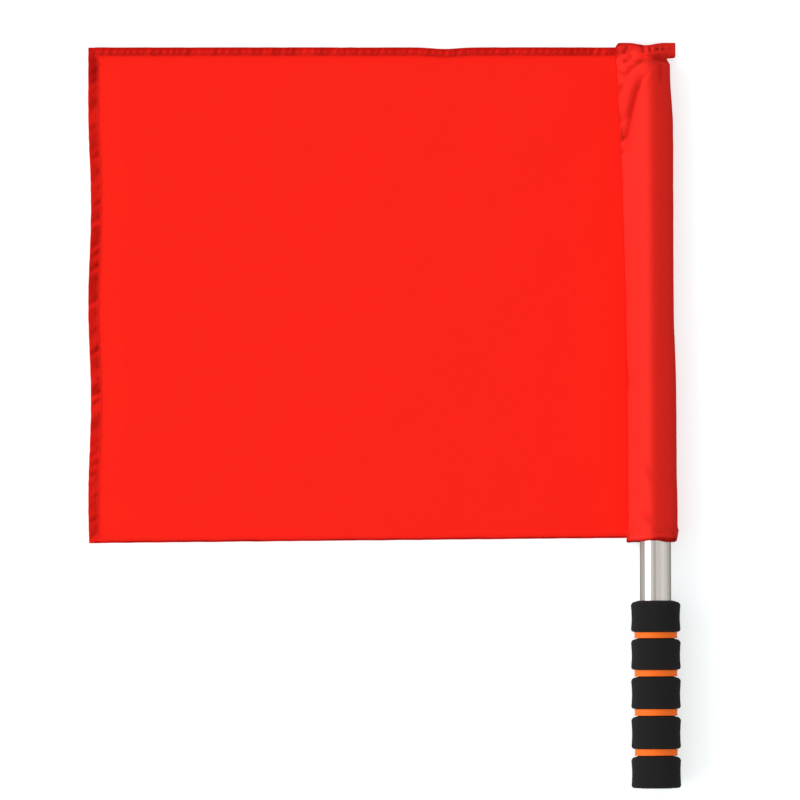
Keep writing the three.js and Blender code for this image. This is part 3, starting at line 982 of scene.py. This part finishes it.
def pocket_ring(y, inner):
    """One ring of the pocket at y as points, its painted shade and its weave coordinates."""
    outer = 0 if inner else 1
    share = rise(y, shoulder, band_bottom - shoulder)
    outline = drop_outline(min(y, band_bottom), inner, outer * HEM_LAYERS * hem_at(y))
    outline = outline * (1 - share) + band_outline(y, inner) * share
    x, z = axis_at(y)
    wide, high = outline.T
    right = wide - x
    angle = np.arctan2(high - z, right)
    facing = smooth(np.cos(angle))
    upper = np.arange(RING_COUNT) < UPPER_COUNT
    places = np.full(RING_COUNT, y)
    gone = way_along(outline)
    beside = wide - pocket_edge_at(y)
    calm = rise(gone, 0, CALM_EDGE) * rise(gone[-1] - gone, 0, CALM_EDGE)

    # Shape: folds, drape and puckers, and the groove, flare and roll of the hem
    folds, fold_tone = folds_at(wide, y)
    drape, fine = (rumple(gone, places, pitch, 5 + k) for k, pitch in enumerate(DRAPE_PITCHES))
    pull = pucker_pull(y, beside)
    groove = bell(y - mouth, MOUTH_HEM, GROOVE_WIDTH) * outer * varied(gone, *STITCH_PULL, seed=9)
    shift = (folds + PUCKER_HEIGHT * pull) * upper + DRAPE * (drape + DRAPE_FINE_SHARE * fine) * (1 - share)
    shift = shift - STITCH_GROOVE * groove - LIP_ROLL * fall(y, mouth, LIP_ROLL_REACH) * outer
    flare = MOUTH_FLARE * bell(y - mouth, MOUTH_HEM * FLARE_SHARE, FLARE_REACH) * facing
    tuck = LIP_TUCK * fall(y, mouth, LIP_TUCK_REACH) * facing
    moved = kept_clear(outline + outward(outline) * (shift * calm + flare - tuck)[:, None], y, upper, inner)

    # Along the pole: the uneven lip of the mouth, and the dip of the band's upper edge
    broad, fine = (wobble(gone, pitch, 11 + k) for k, pitch in enumerate(MOUTH_WAVE_PITCHES))
    lip = MOUTH_WAVE * (broad + MOUTH_WAVE_FINE_SHARE * fine) + LIP_RAISE * bell(-right, *LIP_RAISE_PLACE)
    lip = lip + CORNER_RAISE * smooth(1 - (wide.max() - wide) / CORNER_WIDTH) - LIP_LOWER * ~upper * calm
    dip = BAND_DIP * np.sin(math.pi * band_share(wide)) ** BAND_DIP_POWER * rise(y, band_bottom, BAND_HEIGHT)
    points = np.column_stack([moved[0], places + lip * fall(y, mouth, LIP_REACH) - dip, moved[1]])

    # Tones of painted shade: deeper where the cloth is doubled, turned away from the light, on its
    # underside, at the mouth's rim or in a hollow, and painted highlight where a tone goes below 0
    plain = RIGHT_TONE * (rise(right, *RIGHT_RISE) - RIGHT_CREST_TONE * rise(right, *RIGHT_CREST))
    plain = plain + STEEP_TONE * fall(angle, 0, STEEP_ANGLE) * (right > 0)
    above = between((plain, band_tones(y, wide, right, beside, plain)), share)
    above = above + fold_tone - PUCKER_TONE * pull
    rim = EDGE_TONE * fall(y, mouth, between(MOUTH_RIM, rise(right, *MOUTH_RIM_RISE)))
    rim = rim + GROOVE_TONE * groove * rise(right, *GROOVE_RISE)
    return points, np.where(upper, above, BELOW_TONE) + rim, np.column_stack([gone, places, 0 * gone])


def pocket_stations():
    """Places of the rings along the pocket, crowded at its hem, its folds, its closed end and its band."""
    first, last, step = HEM_RINGS
    places = [*(mouth + np.array(LIP_RINGS)), *np.arange(mouth + first, mouth + last, step)]
    for (gap, step), end in (
        (PLAIN_RINGS, PLAIN_END),
        (FOLD_RINGS, tube_end_y - FOLD_RINGS_END),
        (CLOSING_RINGS, band_bottom - CLOSING_END),
    ):
        places += list(np.arange(places[-1] + gap, end, step))
    places += list(band_bottom + np.array(BAND_END_RINGS))
    gap, step = BAND_RINGS
    places += list(np.arange(places[-1] + gap, band_top - BAND_RINGS_END, step))
    return np.array([*places, *(band_top - np.array(BAND_TOP_RINGS))])


def add_pocket():
    """The pocket as one closed mesh: down its outside from the band, and up its inside from the mouth."""
    stations = pocket_stations()
    outside = [pocket_ring(y, False) for y in stations]
    inside = [pocket_ring(y, True) for y in stations[stations < band_bottom + SLIT_DEPTH]]
    rings, painted_shade, weave = zip(*outside[::-1], *inside)
    painted_shade = np.concatenate(painted_shade)
    weave = np.vstack(weave)
    piece = cloth_piece("pocket_cloth", rings, UPPER_COUNT, pocket_red, painted_shade, ["pole_sleeve"], weave)
    return piece, stations, np.array([ring[0] for ring in outside])


# Panel

FLY_WANDER = 0.0019
FLY_WANDER_START = 0.043
FLY_WANDER_LENGTH = 0.139
# Height and spacing of the small waves of an edge
FLY_WAVE = (0.00012, 0.004)
LONG_WAVE = (0.0001, 0.006)
TOP_DIP = 0.0011
TOP_DIP_PLACE = (0.0428, 0.011)
PANEL_BOTTOM_RISE = 0.0037
PANEL_CREST = 0.0011
PANEL_LIFT = 0.0001
PANEL_STEP = 0.0026
WAVE_RUN = 0.018
WAVE_LONG_SHARE = 0.36
WAVE_SHORT = 0.034
WAVE_TURN = 0.62
WAVE_FINE = 0.024
WAVE_FINE_SLANT = (-0.4, 0.3)
WAVE_LEVELS = (0.5, 0.4, 0.1)
TUCK = 0.0012
FLY_TUCK = 0.0036


def fly_edge(y):
    down = np.clip(panel_top - y - FLY_WANDER_START, 0, None)
    wander = FLY_WANDER * (1 - np.cos(2 * math.pi * down / FLY_WANDER_LENGTH)) / 2
    return panel_fly + wander + varied(y, 0, *FLY_WAVE, seed=31)


def top_edge(x):
    return panel_top - TOP_DIP * bell(x, *TOP_DIP_PLACE) + varied(x, 0, *LONG_WAVE, seed=32)


def bottom_edge(x):
    share = (x - panel_fly) / (seam_mouth - panel_fly)
    return panel_low[1] + PANEL_BOTTOM_RISE * share + varied(x, 0, *LONG_WAVE, seed=33)


def panel_height(x, y):
    """How high the panel's underside lies: long soft waves that die out at its hems and its seam."""
    beside = np.minimum(x - fly_edge(y) - FLY_HEM, seam_at(y) - x)
    along = np.minimum(top_edge(x) - TOP_HEM - y, y - bottom_edge(x) - BOTTOM_HEM)
    ahead = x * math.cos(WAVE_TURN) + y * math.sin(WAVE_TURN)
    aside = y * math.cos(WAVE_TURN) - x * math.sin(WAVE_TURN)
    broad = rumple(ahead * WAVE_LONG_SHARE, aside, WAVE_SHORT, seed=41)
    fine = rumple(x + WAVE_FINE_SLANT[0] * y, y + WAVE_FINE_SLANT[1] * x, WAVE_FINE, seed=42)
    level, broad_share, fine_share = WAVE_LEVELS
    wave = level + broad_share * broad + fine_share * fine
    return FLOOR_GAP + PANEL_LIFT + PANEL_CREST * wave * rise(beside, 0, WAVE_RUN) * rise(along, 0, WAVE_RUN)


def add_panel():
    tall = panel_top - panel_low[1]
    rows = np.linspace(0, 1, int(tall / PANEL_STEP))
    columns = np.linspace(0, 1, int((seam_mouth - panel_fly) / PANEL_STEP))

    def across(y):
        left = fly_edge(y) + FLY_HEM - FLY_TUCK
        return left + (seam_at(y) + TUCK - left) * columns

    rings = []
    for row in rows:
        x = across(panel_low[1] + tall * row)
        low = bottom_edge(x) + BOTTOM_HEM - TUCK
        y = low + (top_edge(x) - TOP_HEM + TUCK - low) * row
        x = across(y)
        z = panel_height(x, y)
        rings.append(np.vstack([np.column_stack([x, y, z + CLOTH]), np.column_stack([x, y, z])[::-1]]))
    painted_shade = np.zeros(2 * len(rows) * len(columns))
    return cloth_piece("flag_panel_cloth", rings, len(columns), panel_red, painted_shade, ["flag_panel"])


# Hems

HEM_POINTS = 26
HEM_STEP = 0.0008
HEM_LEAST = 0.0005
HEM_TAPER = 0.0012
HEM_INNER = 0.0003
HEM_END_SHARE = 0.35
HEM_UNDER_SHARE = 0.1
HEM_GROOVE_SHARE = 0.32
HEM_FOLD_SHARE = 0.25
FOLD_ROUND = 0.0005
hem_shares = 0.5 - 0.5 * np.cos(np.linspace(0, math.pi, HEM_POINTS))


def hem_section(across, thickness, curls, stitch_place, fold, dimple=0):
    """Upper and lower height of a folded hem at each place across it, from its outer edge."""
    curl, curl_width = curls
    first = rounded(across / FOLD_ROUND)
    groove = HEM_GROOVE_SHARE * bell(across, stitch_place, GROOVE_WIDTH)
    base = FLOOR_GAP + curl * fall(across, 0, curl_width)
    high = base + thickness * (0.5 + 0.5 * first) * (1 - groove)
    low = base + HEM_UNDER_SHARE * thickness * (1 - first)
    # Always thick enough to hold the panel between them
    return np.maximum(high + fold - dimple, low + HEM_LEAST), low + np.maximum(fold, 0) * HEM_FOLD_SHARE


def add_hem(name, stations, edge, side, width_at, section, upright=False):
    """A folded hem as rings across it, on this side of its edge, and those rings.

    section gives its two heights and its tone of painted shade at distances from the edge.
    """
    rings = []
    painted_shade = []
    for station in stations:
        width = width_at(station)
        across = hem_shares * width
        places = [np.full(HEM_POINTS, station), edge(station) + side * across]
        x, y = places[::-1] if upright else places
        high, low, tone = section(station, across, width)
        inward = fall(across, width - HEM_TAPER, HEM_TAPER)
        high = high * inward + (FLOOR_GAP + HEM_INNER) * (1 - inward)
        low = low * inward + FLOOR_GAP * (1 - inward)
        full = HEM_END_SHARE if station in (stations[0], stations[-1]) else 1
        middle = (high + low) / 2
        high = middle + (high - middle) * full
        low = np.maximum(middle + (low - middle) * full, FLOOR_GAP)
        rings.append(np.vstack([np.column_stack([x, y, high]), np.column_stack([x, y, low])[::-1]]))
        painted_shade += [tone, tone[::-1]]
    return cloth_piece(name, rings, HEM_POINTS, panel_red, np.concatenate(painted_shade)), np.array(rings)


PUCKER_SIZES = (0.6, 0.4, 0.017)
PUCKER_POWER = 0.7
SPOT_WANDER = 1.6
SPOT_WANDER_SHARE = 1.7
SPOT_LEAST = 0.1
SPOT_SIZES = (0.75, 0.35)
SPOT_SIZES_SHARE = 1.3
SPOT_REACH = 0.0015
SPOT_DEPTH = 0.00040


def puckers(along, across, width, pitch, slant, seed):
    """Small folds across a hem, pulled in by its stitches."""
    size = varied(along, *PUCKER_SIZES, seed=seed + 1)
    arch = np.sin(math.pi * np.clip(across / width, 0, 1)) ** PUCKER_POWER
    return wobble(along + slant * across, pitch, seed) * size * arch


def spots(along, across, pitch, slant, middle, seed):
    """Dimples between the stitches, one to each pitch and a little uneven, from 0 to 1."""
    turn = 2 * math.pi * (along + slant * across) / pitch
    turn = turn + SPOT_WANDER * wobble(along, pitch * SPOT_WANDER_SHARE, seed)
    deep = np.clip((np.cos(turn) - SPOT_LEAST) / (1 - SPOT_LEAST), 0, 1)
    deep = deep * varied(along, *SPOT_SIZES, pitch * SPOT_SIZES_SHARE, seed=seed + 1)
    return deep * bell(across, middle, SPOT_REACH)


def toned(tones, **parts):
    """The plain tone of painted shade and what each part adds to it."""
    return tones["plain"] + sum(tones[name] * part for name, part in parts.items())


FLY_THICKNESS = 0.00085
FLY_CURL = 0.0010
FLY_CURL_WIDTH = 0.0040
# Level, spread and spacing of the curl
FLY_CURLS = (0.8, 0.35, 0.02)
FLY_STITCH = 0.0058
FLY_FADE = 0.0021
FLY_CORNER = (0.018, 0.010)
FLY_SHADE = (0.106, 0.045)
FLY_PUCKER = 0.00040
FLY_NARROW = 0.32
FLY_NARROW_RUN = 0.006
# Pitch and slant of the puckers; of the spots also their middle across the hem
FLY_PUCKERS = (0.0036, -0.7)
FLY_SPOTS = (0.0115, -0.5, FLY_STITCH)
FLY_RIM = (0.0012, 0.0014)
# Slant and spacing of the slow change of tone
FLY_SLOW = (0.6, 0.009)
# Place and size of the sharper folds, how they lie and what they add to the height
FLY_GAPS = (
    (0.1793, 0.4), (0.1333, 0.7), (0.1001, 0.9), (0.0767, 0.7),
    (0.011, 0.75), (-0.0456, 0.5), (-0.0611, 0.45),
)
FLY_GAP_RISE = 0.4
FLY_GAP_WANDER = (0.0007, 0.003)
FLY_GAP_WIDTH = 0.0017
FLY_GAP_SHADE = (0.0031, 0.0019)
FLY_GAP_HEIGHTS = (0.8, 0.5)
# Painted shade of the fly hem: its plain level for the doubled cloth, and what its rim, its top corner, a
# shaded stretch, its puckers, dimples and sharper folds and a slow wander add; positive parts are painted
# shade, negative ones painted highlight
FLY_TONES = {
    "plain": 0.50, "outer": -0.09, "corner": 0.40, "shade": 0.24,
    "fold": -0.50, "slow": -0.12, "dimple": 0.4, "light": -0.42, "dark": 0.3,
}
TOP_THICKNESS = 0.00075
TOP_CURL = (0.0003, 0.0015)
TOP_PUCKER = 0.00030
TOP_PUCKERS = (0.0032, 0.35)
TOP_BLOCKS = (0.0050, 0.3, 0.0030)
TOP_BLOCK_HEIGHT_SHARE = 0.3
TOP_STITCH = 0.0046
TOP_FADE = 0.0023
TOP_RIM = (0.0016, 0.0010)
TOP_START = (-0.012, 0.008)
# Painted shade of the top hem: its plain level for the doubled cloth, and what its rim, its stitch groove,
# its puckers, its raised blocks and its end by the seam add; positive parts are painted shade, negative ones
# painted highlight
TOP_TONES = {"plain": 0.75, "outer": 0.14, "under": 0.1, "fold": -0.35, "block": -0.6, "near": -0.12}
BOTTOM_THICKNESS = 0.0007
BOTTOM_CURL = (0.0002, 0.001)
BOTTOM_PUCKER = 0.00015
BOTTOM_PUCKERS = (0.004, 0.4)
BOTTOM_STITCH = 0.0008
BOTTOM_STITCH_SHARE = 0.6
BOTTOM_DARK = (0.0009, 0.0010)
BOTTOM_CORNER = 0.0030
BOTTOM_CORNER_RUN = 0.022
# Painted shade along the bottom hem's outer edge, and a random wander of it
BOTTOM_TONE = 0.95
BOTTOM_TONE_WANDER = (0.15, 0.006)
hem_start = panel_fly + FLY_HEM - FLY_TUCK


def fly_gaps(y, across):
    """The few sharper folds across the fly hem: raised on their crest with painted highlight, sunk in the
    hollow above it with painted shade.
    """
    light = 0
    dark = 0
    for number, (place, size) in enumerate(FLY_GAPS):
        beyond = y - place - FLY_GAP_RISE * across - varied(across, 0, *FLY_GAP_WANDER, seed=90 + number)
        light = light + size * bell(beyond, 0, FLY_GAP_WIDTH)
        dark = dark + size * bell(beyond, *FLY_GAP_SHADE)
    return light, dark


def add_fly_hem():
    def width_at(y):
        return FLY_HEM * (1 - FLY_NARROW * bell(y, panel_top, FLY_NARROW_RUN))

    def section(y, across, width):
        light, dark = fly_gaps(y, across)
        fold = puckers(y, across, width, *FLY_PUCKERS, seed=52)
        dimple = spots(y, across, *FLY_SPOTS, seed=54)
        curls = (FLY_CURL * varied(y, *FLY_CURLS, seed=51), FLY_CURL_WIDTH)
        height = FLY_PUCKER * (fold + FLY_GAP_HEIGHTS[0] * light - FLY_GAP_HEIGHTS[1] * dark)
        high, low = hem_section(across, FLY_THICKNESS, curls, FLY_STITCH, height, SPOT_DEPTH * dimple)
        slow = wobble(y - FLY_SLOW[0] * across, FLY_SLOW[1], seed=53)
        tone = toned(
            FLY_TONES, outer=fall(across, *FLY_RIM), corner=fall(panel_top - y, *FLY_CORNER),
            shade=bell(y, *FLY_SHADE), fold=fold, slow=slow, dimple=dimple, light=light, dark=dark,
        )
        return high, low, tone * fall(across, width - FLY_FADE, FLY_FADE)

    stations = np.arange(bottom_edge(panel_fly), panel_top, HEM_STEP)
    return add_hem("fly_hem", stations, fly_edge, 1, width_at, section, upright=True)


def add_top_hem():
    end = seam_at(panel_top)

    def section(x, across, width):
        fold = puckers(x, across, width, *TOP_PUCKERS, seed=62)
        block = spots(x, across, *TOP_BLOCKS, seed=64)
        raised = TOP_BLOCK_HEIGHT_SHARE * SPOT_DEPTH * block
        high, low = hem_section(across, TOP_THICKNESS, TOP_CURL, TOP_STITCH, TOP_PUCKER * fold, -raised)
        tone = toned(
            TOP_TONES, outer=fall(across, *TOP_RIM), under=bell(across, TOP_STITCH, GROOVE_WIDTH),
            fold=fold, block=block, near=rise(x - end, *TOP_START),
        )
        return high, low, tone * fall(across, width - TOP_FADE, TOP_FADE)

    stations = np.arange(hem_start, end + TUCK, HEM_STEP)
    return add_hem("top_hem", stations, top_edge, -1, lambda x: TOP_HEM, section)


def add_bottom_hem():
    def width_at(x):
        return BOTTOM_HEM + BOTTOM_CORNER * fall(x, hem_start, BOTTOM_CORNER_RUN)

    def section(x, across, width):
        fold = BOTTOM_PUCKER * puckers(x, across, width, *BOTTOM_PUCKERS, seed=72)
        high, low = hem_section(across, BOTTOM_THICKNESS, BOTTOM_CURL, width - BOTTOM_STITCH, fold)
        tone = BOTTOM_TONE * fall(across, *BOTTOM_DARK) + varied(x, 0, *BOTTOM_TONE_WANDER, seed=73)
        return high, low, tone

    stations = np.arange(hem_start, seam_at(panel_low[1]) + TUCK, HEM_STEP)
    return add_hem("bottom_hem", stations, bottom_edge, 1, width_at, section)


# Stitches

STITCH_PITCH = 0.0025
STITCH_LENGTH = 0.0021
STITCH_START = 0.0005
STITCH_RISE = 1.5
STITCH_SINK = 0.6
STITCH_END_SHARE = 0.08
THREAD_RADIUS = 0.00013
STITCH_RINGS = 7
STITCH_SIDES = 6
SEAM_STITCH = 0.0011
SEAM_FIRST = 3
PLAIN_RING = 20
MOUTH_ENDS = 8
BAND_ENDS = 4


def unit(vectors):
    return vectors / np.linalg.norm(vectors, axis=1)[:, None]


def add_stitches(name, lines, thread):
    """Short lengths of thread along lines of surface points; each line is its points and their way out."""
    points = []
    faces = []
    share = np.linspace(0, 1, STITCH_RINGS)
    end_share = STITCH_END_SHARE + (1 - 2 * STITCH_END_SHARE) * share
    sizes = THREAD_RADIUS * np.sqrt(np.sin(math.pi * end_share))
    lift = THREAD_RADIUS * (STITCH_RISE * np.sin(math.pi * share) - STITCH_SINK)
    turn = np.arange(STITCH_SIDES) * 2 * math.pi / STITCH_SIDES
    for path, out in lines:
        length = way_along(path)
        for number in range(int((length[-1] - STITCH_LENGTH) / STITCH_PITCH)):
            at = STITCH_START + number * STITCH_PITCH + share * STITCH_LENGTH
            centre = read_off(at, length, path)
            up = unit(read_off(at, length, out))
            side = unit(np.cross(unit(np.gradient(centre, axis=0)), up))
            centre = centre + up * lift[:, None]
            start = len(points) * STITCH_SIDES
            for middle, size, aside, above in zip(centre, sizes, side, up):
                ring = np.outer(np.cos(turn), aside) + np.outer(np.sin(turn), above)
                points.append(middle + size * ring)
            faces += ring_faces(STITCH_RINGS, STITCH_SIDES, start)
            for end in (start, start + (STITCH_RINGS - 1) * STITCH_SIDES):
                faces.append(tuple(range(end, end + STITCH_SIDES)))
    return make_piece(name, np.vstack(points), faces, thread, FLAG)


def both_sides(above, below):
    """Two lines of stitches, one on the upper side of the cloth and one on its lower side."""
    return [(path, np.tile((0, 0, up), (len(path), 1))) for path, up in ((above, 1.0), (below, -1.0))]


def hem_stitches(name, rings, share):
    """Stitches at a share across a hem, on both sides."""
    column = int(round(np.interp(share, hem_shares, np.arange(HEM_POINTS))))
    lines = both_sides(rings[:, column], rings[:, 2 * HEM_POINTS - 1 - column])
    return add_stitches(name, lines, hem_thread)


add_tube()
add_plugs()
add_grip()
pocket, stations, pocket_rings = add_pocket()
panel = add_panel()
fly_hem, fly_rings = add_fly_hem()
top_hem, top_rings = add_top_hem()
bottom_hem, bottom_rings = add_bottom_hem()

fly_thread = hem_stitches("fly_stitches", fly_rings, FLY_STITCH / FLY_HEM)
top_thread = hem_stitches("top_stitches", top_rings, TOP_STITCH / TOP_HEM)
bottom_thread = hem_stitches("bottom_stitches", bottom_rings, BOTTOM_STITCH_SHARE)

seam_index = int(SEAM_STITCH / np.linalg.norm(pocket_rings[PLAIN_RING, 1] - pocket_rings[PLAIN_RING, 0]))
seam_rings = pocket_rings[SEAM_FIRST:int(np.searchsorted(stations, band_bottom))]
seam_lines = both_sides(seam_rings[:, seam_index], seam_rings[:, RING_COUNT - 1 - seam_index])
seam_thread = add_stitches("seam_stitches", seam_lines, pocket_thread)

loop = pocket_rings[np.argmin(np.abs(stations - mouth - MOUTH_HEM))]
loop_out = np.insert(outward(loop[:, [0, 2]]), 1, 0, axis=1)
mouth_lines = [(loop[MOUTH_ENDS:-MOUTH_ENDS], loop_out[MOUTH_ENDS:-MOUTH_ENDS])]
mouth_thread = add_stitches("mouth_stitches", mouth_lines, pocket_thread)

band_ring = pocket_rings[np.argmin(np.abs(stations - band_top + BAND_STITCH))]
band_over = band_ring[BAND_ENDS:UPPER_COUNT - BAND_ENDS]
band_lines = both_sides(band_over, band_ring[UPPER_COUNT + BAND_ENDS:-BAND_ENDS])
band_thread = add_stitches("band_stitches", band_lines, hem_thread)


# Floor, light and camera

FLOOR_HALF = 30.0
FLOOR_DROP = 0.0002
FLOOR_ALBEDO = (0.70, 0.75, 0.755)
FLOOR_GLOW = 0.505
GLOSSY_GLOW_SHARE = 0.2
SKY_LEVEL = 0.74
# Patches of the sky that polished steel reflects: lean to the left, half widths and level
SKY_PATCHES = ((6.0, (3.0, 12.0), 0.42), (-54.0, (5.0, 15.0), 1.2), (-18.0, (4.0, 14.0), 0.93))
SOFTBOX_AWAY = 6.0
SOFTBOX_WIDE = 10.0
SOFTBOX_TALL = 7.5
SOFTBOX_LIFT = 0.7
SOFTBOX_POWER = 480.0
CAMERA_LENS = 800.0
CAMERA_CLIP = (0.1, 100.0)
SENSOR = 36.0
PHOTO_WIDTH = 0.5656
CAMERA_PLACE = (0.0110, 0.0110)


def add_floor():
    mesh = bpy.data.meshes.new("studio_floor")
    corners = [(FLOOR_HALF * x, FLOOR_HALF * y, 0) for x, y in ((-1, -1), (1, -1), (1, 1), (-1, 1))]
    mesh.from_pydata(corners, [], [(0, 1, 2, 3)])
    floor = placed("studio_floor", mesh)
    floor.location.z = cad_low[2] - FLOOR_DROP
    material, tree, shader = new_material("white_floor", FLOOR_ALBEDO, 1.0, specular=0.0)
    path = add(tree, "ShaderNodeLightPath").outputs
    mirrored = maths(tree, "MAXIMUM", path["Is Glossy Ray"], path["Is Transmission Ray"])
    seen = maths(tree, "MULTIPLY_ADD", mirrored, GLOSSY_GLOW_SHARE, path["Is Camera Ray"])
    shader.inputs["Emission Color"].default_value = (1, 1, 1, 1)
    tree.links.new(maths(tree, "MULTIPLY", seen, FLOOR_GLOW), shader.inputs["Emission Strength"])
    mesh.materials.append(material)


def add_world():
    """An even pale sky with a few darker and paler patches, and white where the camera sees it."""
    world = bpy.data.worlds.new("studio")
    bpy.context.scene.world = world
    world.use_nodes = True
    tree = world.node_tree
    place = add(tree, "ShaderNodeTexCoord").outputs["Generated"]
    path = add(tree, "ShaderNodeLightPath").outputs
    seen = path["Is Camera Ray"]
    for ray in ("Is Glossy Ray", "Is Transmission Ray"):
        seen = maths(tree, "MAXIMUM", seen, path[ray])
    level = add(tree, "ShaderNodeMapRange", {"Value": seen, "To Min": SKY_LEVEL, "To Max": 1.0}).outputs[0]
    for lean_degrees, half_widths, amount in SKY_PATCHES:
        lean = math.radians(lean_degrees)
        towards = {0: place, 1: (-math.sin(lean), 0, math.cos(lean))}
        facing = add(tree, "ShaderNodeVectorMath", towards, operation="DOT_PRODUCT").outputs["Value"]
        last, first = (math.cos(math.radians(width)) for width in half_widths)
        reaches = {"Value": facing, "From Min": first, "From Max": last, "To Min": 1.0, "To Max": amount}
        patch = add(tree, "ShaderNodeMapRange", reaches, interpolation_type="SMOOTHSTEP").outputs[0]
        level = maths(tree, "MULTIPLY", level, patch)
    background = tree.nodes["Background"]
    background.inputs["Color"].default_value = (1, 1, 1, 1)
    tree.links.new(level, background.inputs["Strength"])


def add_softbox():
    lamp = bpy.data.lights.new("left_softbox", "AREA")
    lamp.shape = "RECTANGLE"
    lamp.size = SOFTBOX_TALL
    lamp.size_y = SOFTBOX_WIDE
    lamp.energy = SOFTBOX_POWER
    softbox = placed("left_softbox", lamp)
    softbox.location = (-SOFTBOX_AWAY, 0, SOFTBOX_LIFT + SOFTBOX_TALL / 2)
    softbox.rotation_euler = (0, -math.pi / 2, 0)
    softbox.visible_camera = False


def add_camera():
    data = bpy.data.cameras.new("camera")
    data.lens = CAMERA_LENS
    data.sensor_width = SENSOR
    data.clip_start, data.clip_end = CAMERA_CLIP
    camera = placed("camera", data)
    camera.location = (*CAMERA_PLACE, PHOTO_WIDTH * CAMERA_LENS / SENSOR)
    bpy.context.scene.camera = camera


add_floor()
add_world()
add_softbox()
add_camera()
bpy.context.scene.view_settings.view_transform = "Standard"
